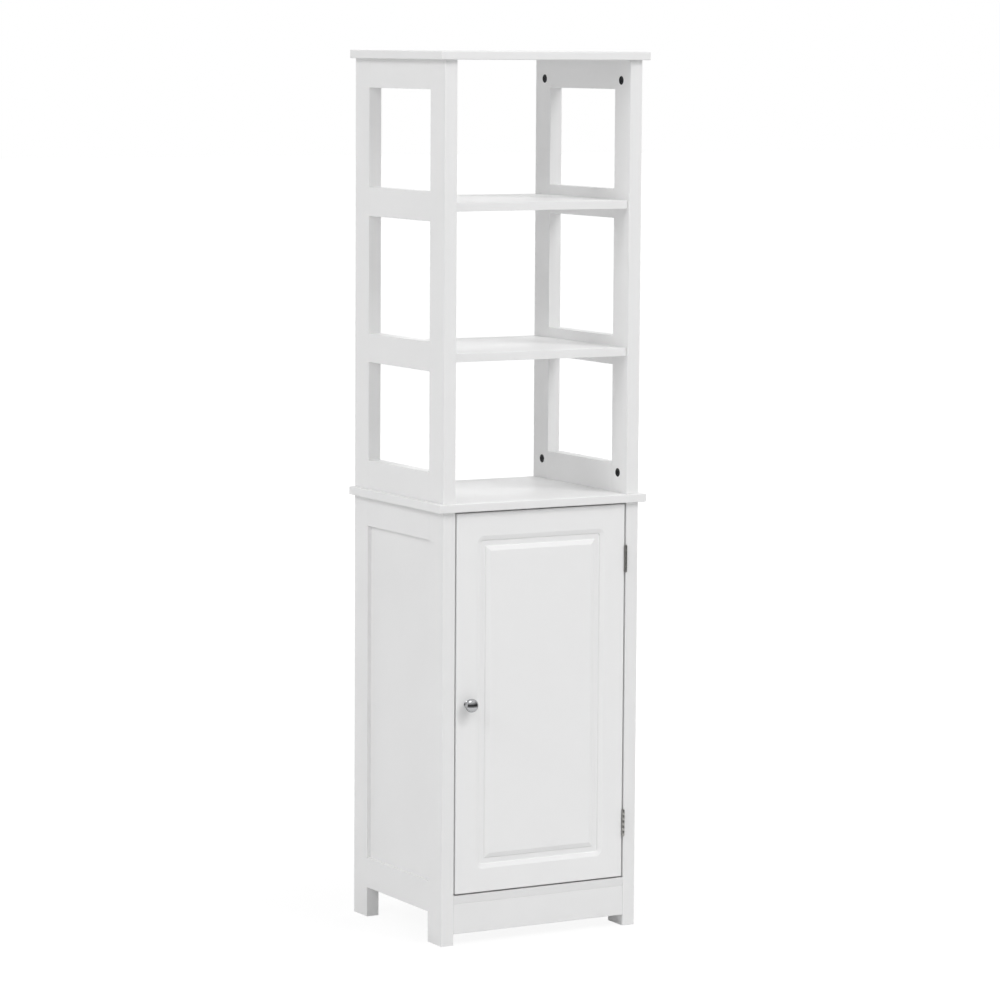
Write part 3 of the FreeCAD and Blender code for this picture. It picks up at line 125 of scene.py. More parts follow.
# The bead follows the four edges of the panel's opening
for side, hand in zip(SIDES, (-1, 1)):
    bpy.ops.object.select_all(action="DESELECT")
    bpy.ops.mesh.primitive_plane_add(
        size=1, rotation=(0, math.pi / 2, 0),
        location=(hand * PANEL_FACE, (PANEL_FRONT + PANEL_BACK) / 2, (PANEL_LOW + PANEL_HIGH) / 2),
    )
    bead = bpy.context.object
    bead.name = f"{side}_panel_paint_bead"
    bead.scale = (PANEL_HIGH - PANEL_LOW, PANEL_BACK - PANEL_FRONT, 1)
    bpy.ops.object.transform_apply()
    bpy.ops.object.mode_set(mode="EDIT")
    bpy.ops.mesh.select_all(action="SELECT")
    bpy.ops.mesh.delete(type="ONLY_FACE")
    bpy.ops.object.mode_set(mode="OBJECT")
    bpy.ops.object.convert(target="CURVE")
    bead = bpy.context.object
    bead.data.bevel_depth = BEAD_RADIUS
    bead.data.bevel_resolution = 2
    bpy.ops.object.convert(target="MESH")
    bead = bpy.context.object
    bpy.ops.object.mode_set(mode="EDIT")
    bpy.ops.mesh.select_all(action="SELECT")
    bpy.ops.mesh.remove_doubles(threshold=MERGE_DISTANCE)
    bpy.ops.mesh.normals_make_consistent(inside=False)
    bpy.ops.object.mode_set(mode="OBJECT")
    bpy.ops.object.shade_smooth_by_angle(angle=SMOOTH_ANGLE)
    bead.data.materials.append(satin_paint)
    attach(bead, "cabinet")


# Floor of the cupboard, base rail and back
# A floor board on cam bolts, a rail doweled under its front edge, and a back of thin hardboard slid into
# grooves. The rail is sprayed like the frames, the floor's paint is given a shade darker than theirs, and the
# hardboard has a smooth white foil.

# The floor board's paint is a shade darker than that of the frames
darker_paint = sprayed("darker_white_paint_on_board", "#ececec", "#e8e8e8")
dress(darker_paint, "bottom_board")
dress(satin_paint, "front_base_rail")

# The foil is smooth and softly shiny, and the fibres of the hardboard print through it a little
white_foil, tree = empty_material("white_foil_on_hardboard")
place = add(tree, "ShaderNodeTexCoord", {}).outputs["Object"]
fibres = add(tree, "ShaderNodeTexNoise", {"Vector": place, "Scale": per_metre(12), "Detail": 5.0})
tint = add(tree, "ShaderNodeMix", {
    0: fibres.outputs[0], 6: linear("#eeeeed"), 7: linear("#e9e9e8"),
}, data_type="RGBA")
gloss = add(tree, "ShaderNodeMapRange", {"Value": fibres.outputs[0], "To Min": 0.28, "To Max": 0.4})
print_through = add(tree, "ShaderNodeBump", {
    "Height": fibres.outputs[0], "Strength": 0.15, "Distance": 0.0001,
})
coat = add(tree, "ShaderNodeBsdfPrincipled", {
    "Base Color": tint.outputs[2], "Roughness": gloss.outputs[0], "Normal": print_through.outputs[0],
    "IOR": 1.5,
})
add(tree, "ShaderNodeOutputMaterial", {"Surface": coat.outputs[0]})
dress(white_foil, "back_panel")


# Middle board
# One board between the cupboard and the open part, past the frames at the front and both sides. Cam bolts
# go through it and pull the two halves of the cabinet together.

dress(satin_paint, "middle_board")


# Upper side frames
# Two stiles and four rails a side, mortised and glued together into a ladder with three openings, then
# sprayed as one piece.

for side in SIDES:
    dress(satin_paint, *(f"{side}_upper_{end}_stile" for end in ENDS))
    dress(satin_paint, *(f"{side}_upper_{level}_rail" for level in ("top", "high", "low", "bottom")))


# Open shelves and top board
# Two shelves held between the ladders by cam bolts and dowels, and a top that overhangs the frames like
# the middle board. All are sprayed fibreboard.

dress(satin_paint, "lower_open_shelf", "upper_open_shelf", "top_board")


# Cam fittings and dowels
# Cams cast in zinc sit in round holes in the frames and boards and draw steel bolts in; a thin rim covers
# the edge of each hole. The casting is dull with a fine grain, and its dark colour is painted shade, the
# shade inside its hole. The bolts are zinc plated, and beech dowels keep the boards in line.

INNER_FACE = 0.1655
# Front and back row of fittings
FIXING_LINES = (-0.11625, 0.14025)
# Height of each cam in the side frames, and the side from which its bolt comes: 1 above, -1 below
FRAME_CAM_LEVELS = ((1.442, 1), (0.779, -1), (0.697, 1))
# Undersides of the two open shelves and of the cupboard's floor
BOARD_UNDERSIDES = (1.22767, 0.97933, 0.070)
# From a joint to the middle of the cam that draws it shut
CAM_DISTANCE = 0.034
# Radius and height of each ring from the dished face over the rim and down the drum
CAM_RINGS = (
    (0.0046, -0.0002), (0.0054, 0.0004), (0.0070, 0.0004), (0.0073, 0.0001), (0.0073, 0.0),
    (0.0059, 0.0), (0.0059, -0.0105), (0.0056, -0.0108),
)
CAM_CROSS_LENGTH = 0.0075
CAM_CROSS_WIDTH = 0.0016
CAM_CROSS_DEPTH = 0.0018
CAM_MOUTH_RADIUS = 0.0032
CAM_MOUTH_LENGTH = 0.012
BOLT_DEPTH = 0.007
BOLT_HEAD = 0.003
# Sides that a round fitting is drawn with
ROUND_SIDES = 32
# Width that is left at the bottom of a cross recess, as a share of its width at the top
CROSS_TAPER = 0.45


def turned_blank(rings):
    """Round piece drawn out ring by ring, each ring a radius and a height, closed at both ends."""
    bpy.ops.object.select_all(action="DESELECT")
    (radius, height), *others = rings
    bpy.ops.mesh.primitive_circle_add(
        vertices=ROUND_SIDES, radius=radius, fill_type="NGON", location=(0, 0, height),
    )
    blank = bpy.context.object
    bpy.ops.object.transform_apply()
    bpy.ops.object.mode_set(mode="EDIT")
    for next_radius, next_height in others:
        step = (0, 0, next_height - height)
        bpy.ops.mesh.extrude_region_move(TRANSFORM_OT_translate={"value": step})
        growth = next_radius / radius
        bpy.ops.transform.resize(value=(growth, growth, 1), center_override=(0, 0, next_height))
        radius, height = next_radius, next_height
    bpy.ops.mesh.select_all(action="SELECT")
    bpy.ops.mesh.normals_make_consistent(inside=False)
    bpy.ops.object.mode_set(mode="OBJECT")
    return blank


def cut_away(blank, cutter):
    """Take one shape out of another, and remove it."""
    cut = blank.modifiers.new("cut", "BOOLEAN")
    cut.operation = "DIFFERENCE"
    cut.object = cutter
    bpy.context.view_layer.objects.active = blank
    bpy.ops.object.modifier_apply(modifier="cut")
    bpy.data.objects.remove(cutter)


def cross_recess(blank, top, arm, width, depth):
    """Cut the tapered cross that the screwdriver fits into the top of a fitting."""
    for turn in (0, math.pi / 2):
        bpy.ops.object.select_all(action="DESELECT")
        bpy.ops.mesh.primitive_cube_add(size=1, location=(0, 0, top), rotation=(0, 0, turn))
        cutter = bpy.context.object
        cutter.scale = (arm, width, 2 * depth)
        bpy.ops.object.transform_apply()
        bpy.ops.object.mode_set(mode="EDIT")
        bpy.ops.mesh.select_all(action="DESELECT")
        bpy.ops.object.mode_set(mode="OBJECT")
        for face in cutter.data.polygons:
            face.select = face.normal.z < -0.9
        bpy.ops.object.mode_set(mode="EDIT")
        bpy.ops.transform.resize(value=(CROSS_TAPER, CROSS_TAPER, 1), center_override=(0, 0, top - depth))
        bpy.ops.object.mode_set(mode="OBJECT")
        cut_away(blank, cutter)


def drive_in(fitting, name, places):
    """Set copies of a fitting as one named piece, each by its place, where its head faces and its X axis."""
    copies = []
    for place, outwards, aside in places:
        bpy.ops.object.select_all(action="DESELECT")
        fitting.select_set(True)
        bpy.context.view_layer.objects.active = fitting
        bpy.ops.object.duplicate()
        copy = bpy.context.object
        copy.location = place
        across = Vector(aside)
        axis = Vector(outwards)
        copy.rotation_euler = Matrix((across, axis.cross(across), axis)).transposed().to_euler()
        bpy.ops.object.transform_apply()
        copies.append(copy)
    for copy in copies:
        copy.select_set(True)
    if len(copies) > 1:
        bpy.ops.object.join()
    piece = bpy.context.object
    piece.name = name
    return piece


# The casting's grain is finer than 0.8 mm, and is drawn at that so that a close view shows it
shade_dark_zinc, tree = empty_material("cast_zinc_darkened_as_painted_shade")
place = add(tree, "ShaderNodeTexCoord", {}).outputs["Object"]
grain = add(tree, "ShaderNodeTexNoise", {"Vector": place, "Scale": per_metre(0.8), "Detail": 3.0})
# The dark greys of the casting are painted shade, for the shade inside the holes that the cams sit in
tint = add(tree, "ShaderNodeMix", {
    0: grain.outputs[0], 6: linear("#343436"), 7: linear("#262628"),
}, data_type="RGBA")
gloss = add(tree, "ShaderNodeMapRange", {"Value": grain.outputs[0], "To Min": 0.42, "To Max": 0.62})
pits = add(tree, "ShaderNodeBump", {"Height": grain.outputs[0], "Strength": 0.4, "Distance": 0.00005})
metal = add(tree, "ShaderNodeBsdfPrincipled", {
    "Base Color": tint.outputs[2], "Metallic": 1.0, "Roughness": gloss.outputs[0],
    "Normal": pits.outputs[0],
})
add(tree, "ShaderNodeOutputMaterial", {"Surface": metal.outputs[0]})

cam = turned_blank(CAM_RINGS)
cross_recess(cam, CAM_RINGS[0][1], CAM_CROSS_LENGTH, CAM_CROSS_WIDTH, CAM_CROSS_DEPTH)
bpy.ops.object.select_all(action="DESELECT")
bpy.ops.mesh.primitive_cylinder_add(
    vertices=ROUND_SIDES, radius=CAM_MOUTH_RADIUS, depth=CAM_MOUTH_LENGTH, rotation=(0, math.pi / 2, 0),
    location=(CAM_MOUTH_LENGTH / 2 - BOLT_HEAD, 0, -BOLT_DEPTH),
)
mouth = bpy.context.object
bpy.ops.object.transform_apply()
cut_away(cam, mouth)
bpy.ops.object.select_all(action="DESELECT")
cam.select_set(True)
bpy.ops.object.shade_smooth_by_angle(angle=SMOOTH_ANGLE)
cam.data.materials.append(shade_dark_zinc)
cam_places = []
for hand in (-1, 1):
    for line in FIXING_LINES:
        cam_places += [
            ((hand * INNER_FACE, line, level), (-hand, 0, 0), (0, 0, bolt_side))
            for level, bolt_side in FRAME_CAM_LEVELS
        ]
        cam_places += [
            ((hand * (INNER_FACE - CAM_DISTANCE), line, underside), (0, 0, -1), (hand, 0, 0))
            for underside in BOARD_UNDERSIDES
        ]
cams = drive_in(cam, "rimmed_cam_nuts", cam_places)
bpy.data.objects.remove(cam)
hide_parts("cam_nuts")
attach(cams, "cabinet")

# Zinc plate is pale grey and fairly bright, with a cloudy bloom a few millimetres across
zinc_plate, tree = empty_material("zinc_plated_steel")
place = add(tree, "ShaderNodeTexCoord", {}).outputs["Object"]
bloom = add(tree, "ShaderNodeTexNoise", {"Vector": place, "Scale": per_metre(2.5), "Detail": 4.0})
tint = add(tree, "ShaderNodeMix", {
    0: bloom.outputs[0], 6: linear("#cfd2d4"), 7: linear("#b6b9bd"),
}, data_type="RGBA")
gloss = add(tree, "ShaderNodeMapRange", {"Value": bloom.outputs[0], "To Min": 0.24, "To Max": 0.42})
metal = add(tree, "ShaderNodeBsdfPrincipled", {
    "Base Color": tint.outputs[2], "Metallic": 1.0, "Roughness": gloss.outputs[0],
})
add(tree, "ShaderNodeOutputMaterial", {"Surface": metal.outputs[0]})
dress(zinc_plate, "cam_bolts", "double_cam_bolts")

# Bare beech is pale brown and matt, with darker flecks of grain
beech, tree = empty_material("bare_beech")
place = add(tree, "ShaderNodeTexCoord", {}).outputs["Object"]
along = add(tree, "ShaderNodeMapping", {"Vector": place, "Scale": (0.12, 1.0, 1.0)})
grain = add(tree, "ShaderNodeTexNoise", {"Vector": along.outputs[0], "Scale": per_metre(0.7), "Detail": 4.0})
tint = add(tree, "ShaderNodeMix", {
    0: grain.outputs[0], 6: linear("#d8b98f"), 7: linear("#b28a5c"),
}, data_type="RGBA")
pores = add(tree, "ShaderNodeBump", {"Height": grain.outputs[0], "Strength": 0.3, "Distance": 0.0001})
wood = add(tree, "ShaderNodeBsdfPrincipled", {
    "Base Color": tint.outputs[2], "Roughness": 0.62, "Normal": pores.outputs[0], "IOR": 1.5,
})
add(tree, "ShaderNodeOutputMaterial", {"Surface": wood.outputs[0]})
dress(beech, "wood_dowels")


# Shelf inside the cupboard
# A loose board, sprayed all round, on four plated steel pins. These are pushed into holes in the legs and
# can be set higher or lower.

dress(satin_paint, "inner_shelf")
dress(zinc_plate, "shelf_pins")


# Door
# One slab of fibreboard with a moulding routed round a raised field: a slope, a small steep step and a flat
# floor, then the same up to the field. Its paint is a shade whiter than that of the frames.

# The door's paint is a shade whiter than that of the frames
whiter_paint = sprayed("whiter_satin_paint_on_door", "#f6f6f6", "#f3f3f3")
dress(whiter_paint, "door")


# Knob
# Turned, polished and chrome plated, on a machine screw through the door. The plate is almost a mirror,
# with a very slight haze left by the polishing.

chrome, tree = empty_material("polished_chrome_plate")
place = add(tree, "ShaderNodeTexCoord", {}).outputs["Object"]
haze = add(tree, "ShaderNodeTexNoise", {"Vector": place, "Scale": per_metre(3), "Detail": 4.0})
gloss = add(tree, "ShaderNodeMapRange", {"Value": haze.outputs[0], "To Min": 0.08, "To Max": 0.17})
tint = add(tree, "ShaderNodeMix", {
    0: haze.outputs[0], 6: linear("#b8b9ba"), 7: linear("#aeafb1"),
}, data_type="RGBA")
metal = add(tree, "ShaderNodeBsdfPrincipled", {
    "Base Color": tint.outputs[2], "Metallic": 1.0, "Roughness": gloss.outputs[0],
})
add(tree, "ShaderNodeOutputMaterial", {"Surface": metal.outputs[0]})
dress(chrome, "knob")

KNOB_SCREW_PLACE = (-0.1405, -0.13025, 0.40725)
KNOB_SHANK_RADIUS = 0.0017
# Radius and height of each ring from the crown of the pan head down to the end of the thread
KNOB_SCREW_RINGS = (
    (0.0026, 0.0024), (0.0034, 0.0021), (0.0039, 0.0014), (0.0040, 0.0006), (0.0040, 0.0),
    (KNOB_SHANK_RADIUS, 0.0), (KNOB_SHANK_RADIUS, -0.0255), (0.0013, -0.0259),
)
KNOB_CROSS_LENGTH = 0.0036
KNOB_CROSS_WIDTH = 0.0008
KNOB_CROSS_DEPTH = 0.0014
KNOB_THREAD_DEPTH = 0.0003
KNOB_THREAD_PITCH = 0.0007
KNOB_THREAD_START = -0.0145
KNOB_THREAD_TURNS = 15
# Steps in one turn of a thread
THREAD_STEPS = 24


def wind_thread(blank, radius, depth, pitch, start, turns):
    """Wind a sharp ridge round a screw's shank from a height downwards, and make it part of the screw."""
    bpy.ops.object.select_all(action="DESELECT")
    bpy.ops.mesh.primitive_circle_add(
        vertices=3, radius=depth, location=(radius, 0, start), rotation=(math.pi / 2, math.pi / 2, 0),
    )
    ridge = bpy.context.object
    bpy.ops.object.transform_apply()
    winding = ridge.modifiers.new("winding", "SCREW")
    winding.angle = 2 * math.pi
    winding.screw_offset = -pitch
    winding.iterations = turns
    winding.steps = THREAD_STEPS
    winding.render_steps = THREAD_STEPS
    bpy.ops.object.modifier_apply(modifier="winding")
    bpy.ops.object.mode_set(mode="EDIT")
    bpy.ops.mesh.select_all(action="SELECT")
    bpy.ops.mesh.fill_holes(sides=3)
    bpy.ops.mesh.select_all(action="SELECT")
    bpy.ops.mesh.normals_make_consistent(inside=False)
    bpy.ops.object.mode_set(mode="OBJECT")
    blank.select_set(True)
    bpy.context.view_layer.objects.active = blank
    bpy.ops.object.join()
    bpy.ops.object.shade_smooth_by_angle(angle=SMOOTH_ANGLE)


machine_screw = turned_blank(KNOB_SCREW_RINGS)
cross_recess(machine_screw, KNOB_SCREW_RINGS[0][1], KNOB_CROSS_LENGTH, KNOB_CROSS_WIDTH, KNOB_CROSS_DEPTH)
wind_thread(
    machine_screw, KNOB_SHANK_RADIUS, KNOB_THREAD_DEPTH, KNOB_THREAD_PITCH, KNOB_THREAD_START,
    KNOB_THREAD_TURNS,
)
machine_screw.data.materials.append(zinc_plate)
screw = drive_in(machine_screw, "knob_machine_screw", [(KNOB_SCREW_PLACE, (0, 1, 0), (1, 0, 0))])
bpy.data.objects.remove(machine_screw)
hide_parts("knob_screw")
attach(screw, "door")


# Hinges
# Two butt hinges of pressed steel, nickel plated, with five knuckles rolled round a pin that has turned
# heads. Two countersunk wood screws with a cross recess hold each leaf.

# Satin nickel is a warm grey, and fine brushing along the barrel softens its shine. The strokes are drawn
# 0.5 mm wide, coarser than real ones, so that a close view shows them.
nickel_plate, tree = empty_material("satin_nickel_plated_steel")
place = add(tree, "ShaderNodeTexCoord", {}).outputs["Object"]
along = add(tree, "ShaderNodeMapping", {"Vector": place, "Scale": (1.0, 1.0, 0.08)})
brushing = add(tree, "ShaderNodeTexNoise", {
    "Vector": along.outputs[0], "Scale": per_metre(0.5), "Detail": 3.0,
})
tint = add(tree, "ShaderNodeMix", {
    0: brushing.outputs[0], 6: linear("#bebdba"), 7: linear("#a2a19e"),
}, data_type="RGBA")
gloss = add(tree, "ShaderNodeMapRange", {"Value": brushing.outputs[0], "To Min": 0.22, "To Max": 0.38})
lines = add(tree, "ShaderNodeBump", {"Height": brushing.outputs[0], "Strength": 0.15, "Distance": 0.00003})
metal = add(tree, "ShaderNodeBsdfPrincipled", {
    "Base Color": tint.outputs[2], "Metallic": 1.0, "Roughness": gloss.outputs[0],
    "Normal": lines.outputs[0],
})
add(tree, "ShaderNodeOutputMaterial", {"Surface": metal.outputs[0]})
HINGE_LEVELS = ("upper", "lower")
for level in HINGE_LEVELS:
    dress(nickel_plate, *(f"{level}_hinge_{part}" for part in ("frame_leaf", "door_leaf", "pin")))


def rounded_copy(node, name, width):
    """Copy of a piece of the frame, in its place, with the rounded edges that a press or a mould leaves."""
    copy = bpy.data.objects.new(name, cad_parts[node].data.copy())
    bpy.context.scene.collection.objects.link(copy)
    bpy.ops.object.select_all(action="DESELECT")
    copy.select_set(True)
    bpy.context.view_layer.objects.active = copy
    bpy.ops.mesh.customdata_custom_splitnormals_clear()
    bpy.ops.object.mode_set(mode="EDIT")
    bpy.ops.mesh.select_all(action="SELECT")
    bpy.ops.mesh.remove_doubles(threshold=MERGE_DISTANCE)
    bpy.ops.mesh.dissolve_limited(angle_limit=math.radians(1))
    bpy.ops.object.mode_set(mode="OBJECT")
    edges = copy.modifiers.new("edges", "BEVEL")
    edges.width = width
    edges.segments = 2
    edges.limit_method = "ANGLE"
    edges.angle_limit = math.radians(40)
    bpy.ops.object.modifier_apply(modifier="edges")
    bpy.ops.object.shade_smooth_by_angle(angle=SMOOTH_ANGLE)
    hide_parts(node)
    return copy


LEAF_EDGE = 0.0005
for level in HINGE_LEVELS:
    for part, body in (("frame_leaf", "cabinet"), ("door_leaf", "door")):
        leaf = rounded_copy(f"{level}_hinge_{part}", f"{level}_pressed_{part}", LEAF_EDGE)
        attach(leaf, body)

WOOD_SHANK_RADIUS = 0.00105
# Radius and height of each ring from the flat head down to the point
WOOD_SCREW_RINGS = (
    (0.0028, 0.0), (0.0027, -0.00015), (0.0013, -0.0012), (WOOD_SHANK_RADIUS, -0.0024),
    (WOOD_SHANK_RADIUS, -0.0092), (0.0001, -0.0120),
)
WOOD_CROSS_LENGTH = 0.0030
WOOD_CROSS_WIDTH = 0.0007
WOOD_CROSS_DEPTH = 0.0012
WOOD_THREAD_DEPTH = 0.0004
WOOD_THREAD_PITCH = 0.0012
WOOD_THREAD_START = -0.0030
WOOD_THREAD_TURNS = 5
# Heights of the screws in the lower and the upper hinge, their place from front to back, and the faces of the
# leaves that their heads lie in
HINGE_SCREW_HEIGHTS = (0.1660, 0.1930, 0.6215, 0.6485)
HINGE_SCREW_LINE = -0.13895
FRAME_LEAF_FACE = 0.1644
DOOR_LEAF_FACE = 0.1636

wood_screw = turned_blank(WOOD_SCREW_RINGS)
cross_recess(wood_screw, WOOD_SCREW_RINGS[0][1], WOOD_CROSS_LENGTH, WOOD_CROSS_WIDTH, WOOD_CROSS_DEPTH)
wind_thread(
    wood_screw, WOOD_SHANK_RADIUS, WOOD_THREAD_DEPTH, WOOD_THREAD_PITCH, WOOD_THREAD_START,
    WOOD_THREAD_TURNS,
)
wood_screw.data.materials.append(zinc_plate)
screws = drive_in(wood_screw, "hinge_frame_wood_screws", [
    ((FRAME_LEAF_FACE, HINGE_SCREW_LINE, height), (-1, 0, 0), (0, 0, 1)) for height in HINGE_SCREW_HEIGHTS
])
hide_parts("hinge_frame_screws")
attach(screws, "cabinet")
screws = drive_in(wood_screw, "hinge_door_wood_screws", [
    ((DOOR_LEAF_FACE, HINGE_SCREW_LINE, height), (1, 0, 0), (0, 0, 1)) for height in HINGE_SCREW_HEIGHTS
])
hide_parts("hinge_door_screws")
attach(screws, "door")


# Magnetic catch
# A moulded white housing under the middle board holds a ferrite magnet between two steel poles, and a plated
# strike plate on the door meets them. Wood screws like those of the hinges hold both.

# The plastic is a softly shiny white, and the fine texture of its mould is drawn at 0.6 mm so that a close
# view shows it
white_plastic, tree = empty_material("moulded_white_plastic")
place = add(tree, "ShaderNodeTexCoord", {}).outputs["Object"]
texture = add(tree, "ShaderNodeTexNoise", {"Vector": place, "Scale": per_metre(0.6), "Detail": 2.0})
tint = add(tree, "ShaderNodeMix", {
    0: texture.outputs[0], 6: linear("#efefec"), 7: linear("#e7e7e3"),
}, data_type="RGBA")
gloss = add(tree, "ShaderNodeMapRange", {"Value": texture.outputs[0], "To Min": 0.32, "To Max": 0.5})
skin = add(tree, "ShaderNodeBump", {"Height": texture.outputs[0], "Strength": 0.3, "Distance": 0.00003})
plastic = add(tree, "ShaderNodeBsdfPrincipled", {
    "Base Color": tint.outputs[2], "Roughness": gloss.outputs[0], "Normal": skin.outputs[0], "IOR": 1.49,
})
add(tree, "ShaderNodeOutputMaterial", {"Surface": plastic.outputs[0]})
dress(white_plastic, "catch_housing")
HOUSING_EDGE = 0.0006
housing = rounded_copy("catch_housing", "moulded_catch_housing", HOUSING_EDGE)
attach(housing, "cabinet")

# Ferrite is nearly black and dull, with a fine grain that is drawn coarser than it is, at 0.5 mm
ferrite, tree = empty_material("sintered_ferrite")
place = add(tree, "ShaderNodeTexCoord", {}).outputs["Object"]
grain = add(tree, "ShaderNodeTexNoise", {"Vector": place, "Scale": per_metre(0.5), "Detail": 4.0})
tint = add(tree, "ShaderNodeMix", {
    0: grain.outputs[0], 6: linear("#37373a"), 7: linear("#262628"),
}, data_type="RGBA")
gloss = add(tree, "ShaderNodeMapRange", {"Value": grain.outputs[0], "To Min": 0.5, "To Max": 0.75})
ceramic = add(tree, "ShaderNodeBsdfPrincipled", {
    "Base Color": tint.outputs[2], "Roughness": gloss.outputs[0], "IOR": 1.8,
})
add(tree, "ShaderNodeOutputMaterial", {"Surface": ceramic.outputs[0]})
dress(ferrite, "catch_magnet")
dress(zinc_plate, "catch_poles", "strike_plate")
STRIKE_EDGE = 0.0003
strike = rounded_copy("strike_plate", "pressed_strike_plate", STRIKE_EDGE)
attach(strike, "door")

CATCH_SCREW_PLACES = ((-0.1485, -0.11985, 0.7285), (-0.1165, -0.11985, 0.7285))
STRIKE_SCREW_PLACE = (-0.1325, -0.12915, 0.7190)
screws = drive_in(wood_screw, "catch_wood_screws", [
    (place, (0, 0, -1), (1, 0, 0)) for place in CATCH_SCREW_PLACES
])
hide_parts("catch_screws")
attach(screws, "cabinet")
screw = drive_in(wood_screw, "strike_wood_screw", [(STRIKE_SCREW_PLACE, (0, 1, 0), (1, 0, 0))])
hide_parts("strike_screw")
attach(screw, "door")
bpy.data.objects.remove(wood_screw)


# Studio
# A pale floor under a white sky, a key light above the front, softboxes at the front and the left, and a high
# and a low one behind. Only gloss shows the white card overhead, which gives the chrome its bright spot, and
# the dark curtain behind the camera that runs out over the floor, which gives it its dark band.

FLOOR_SIZE = 80
# Distances from the cabinet up to which the floor is shaded, and from which it is white
FLOOR_SHADED_TO = 0.3
FLOOR_WHITE_FROM = 1.6


def seen_directly(tree):
    """Output that is one for what the camera or a mirror shows and zero for light that spreads."""
    path = add(tree, "ShaderNodeLightPath", {})
    mirrored = add(tree, "ShaderNodeMath", {
        0: path.outputs["Is Camera Ray"], 1: path.outputs["Is Glossy Ray"],
    }, operation="MAXIMUM")
    clear = add(tree, "ShaderNodeMath", {
        0: mirrored.outputs[0], 1: path.outputs["Is Transmission Ray"],
    }, operation="MAXIMUM")
    return clear.outputs[0]


bpy.ops.object.select_all(action="DESELECT")
bpy.ops.mesh.primitive_plane_add(size=FLOOR_SIZE, location=(0, 0, 0))
floor = bpy.context.object
floor.name = "studio_floor"
floor_paper, tree = empty_material("white_floor_paper")
matt = add(tree, "ShaderNodeBsdfDiffuse", {"Color": linear("#d8d8d8")})
# Near the cabinet the paper shows its shadow; a few steps away it is pure white
place = add(tree, "ShaderNodeTexCoord", {}).outputs["Object"]
steps_away = add(tree, "ShaderNodeVectorMath", {0: place}, operation="LENGTH")
brightness = add(tree, "ShaderNodeMapRange", {
    "Value": steps_away.outputs["Value"], "From Min": FLOOR_SHADED_TO, "From Max": FLOOR_WHITE_FROM,
    "To Min": 0.9, "To Max": 1.0,
})
faint = add(tree, "ShaderNodeBsdfDiffuse", {"Color": linear("#606060")})
glow = add(tree, "ShaderNodeEmission", {"Color": linear("#ffffff"), "Strength": brightness.outputs[0]})
lit = add(tree, "ShaderNodeAddShader", {0: faint.outputs[0], 1: glow.outputs[0]})
paper = add(tree, "ShaderNodeMixShader", {0: seen_directly(tree), 1: matt.outputs[0], 2: lit.outputs[0]})
add(tree, "ShaderNodeOutputMaterial", {"Surface": paper.outputs[0]})
floor.data.materials.append(floor_paper)

# The curtain is half a tube round the front, and its lower edge is drawn in over the floor
CURTAIN_RADIUS = 9.0
CURTAIN_HEIGHT = 8.0
CURTAIN_LIFT = 0.002
# How near the curtain's loose end comes to the cabinet along the floor
CURTAIN_REACH = 1.0
bpy.ops.object.select_all(action="DESELECT")
bpy.ops.mesh.primitive_cylinder_add(
    vertices=96, radius=CURTAIN_RADIUS, depth=CURTAIN_HEIGHT, end_fill_type="NOTHING",
    location=(0, 0, CURTAIN_HEIGHT / 2 + CURTAIN_LIFT),
)
curtain = bpy.context.object
curtain.name = "dark_curtain"
bpy.ops.object.transform_apply()
bpy.ops.object.mode_set(mode="EDIT")
bpy.ops.mesh.select_all(action="SELECT")
bpy.ops.mesh.bisect(plane_co=(0, 0, 0), plane_no=(0, 1, 0), clear_outer=True)
bpy.ops.mesh.select_all(action="DESELECT")
bpy.ops.object.mode_set(mode="OBJECT")
for corner in curtain.data.vertices:
    corner.select = corner.co.z < CURTAIN_HEIGHT / 2
for edge in curtain.data.edges:
    edge.select = all(curtain.data.vertices[corner].select for corner in edge.vertices)
bpy.ops.object.mode_set(mode="EDIT")
inwards = CURTAIN_REACH / CURTAIN_RADIUS
bpy.ops.mesh.extrude_region_move(TRANSFORM_OT_translate={"value": (0, 0, 0)})
bpy.ops.transform.resize(value=(inwards, inwards, 1), center_override=(0, 0, 0))
bpy.ops.object.mode_set(mode="OBJECT")

# The cloth glows with its own light and is seen only in gloss: a painted reflection for the chrome. It is
# darkest in a band about level with the knob and fades to pale grey above and below. The band is given by
# the sine of the angle at which it is seen from the knob's height.
BAND_MIDDLE = 0.06
BAND_HALF_WIDTH = 0.1
BAND_FADED_OUT = 0.5
curtain_cloth, tree = empty_material("dark_grey_curtain")
place = add(tree, "ShaderNodeTexCoord", {}).outputs["Object"]
from_knob = add(tree, "ShaderNodeMapping", {"Vector": place, "Location": (0, 0, -KNOB_SCREW_PLACE[2])})
direction = add(tree, "ShaderNodeVectorMath", {0: from_knob.outputs[0]}, operation="NORMALIZE")
climb = add(tree, "ShaderNodeSeparateXYZ", {"Vector": direction.outputs[0]}).outputs["Z"]
off_band = add(tree, "ShaderNodeMath", {0: climb, 1: BAND_MIDDLE}, operation="SUBTRACT")
either_way = add(tree, "ShaderNodeMath", {0: off_band.outputs[0]}, operation="ABSOLUTE")
share = add(tree, "ShaderNodeMapRange", {
    "Value": either_way.outputs[0], "From Min": BAND_HALF_WIDTH, "From Max": BAND_FADED_OUT,
})
fade = add(tree, "ShaderNodeMix", {
    0: share.outputs[0], 6: linear("#3a3a3a"), 7: linear("#c8c8c8"),
}, data_type="RGBA")
# The curtain glows in these greys: a painted reflection that only gloss shows
reflection_glow = add(tree, "ShaderNodeEmission", {"Color": fade.outputs[2]})
add(tree, "ShaderNodeOutputMaterial", {"Surface": reflection_glow.outputs[0]})
curtain.data.materials.append(curtain_cloth)
curtain.visible_camera = False
curtain.visible_diffuse = False
curtain.visible_transmission = False
curtain.visible_shadow = False

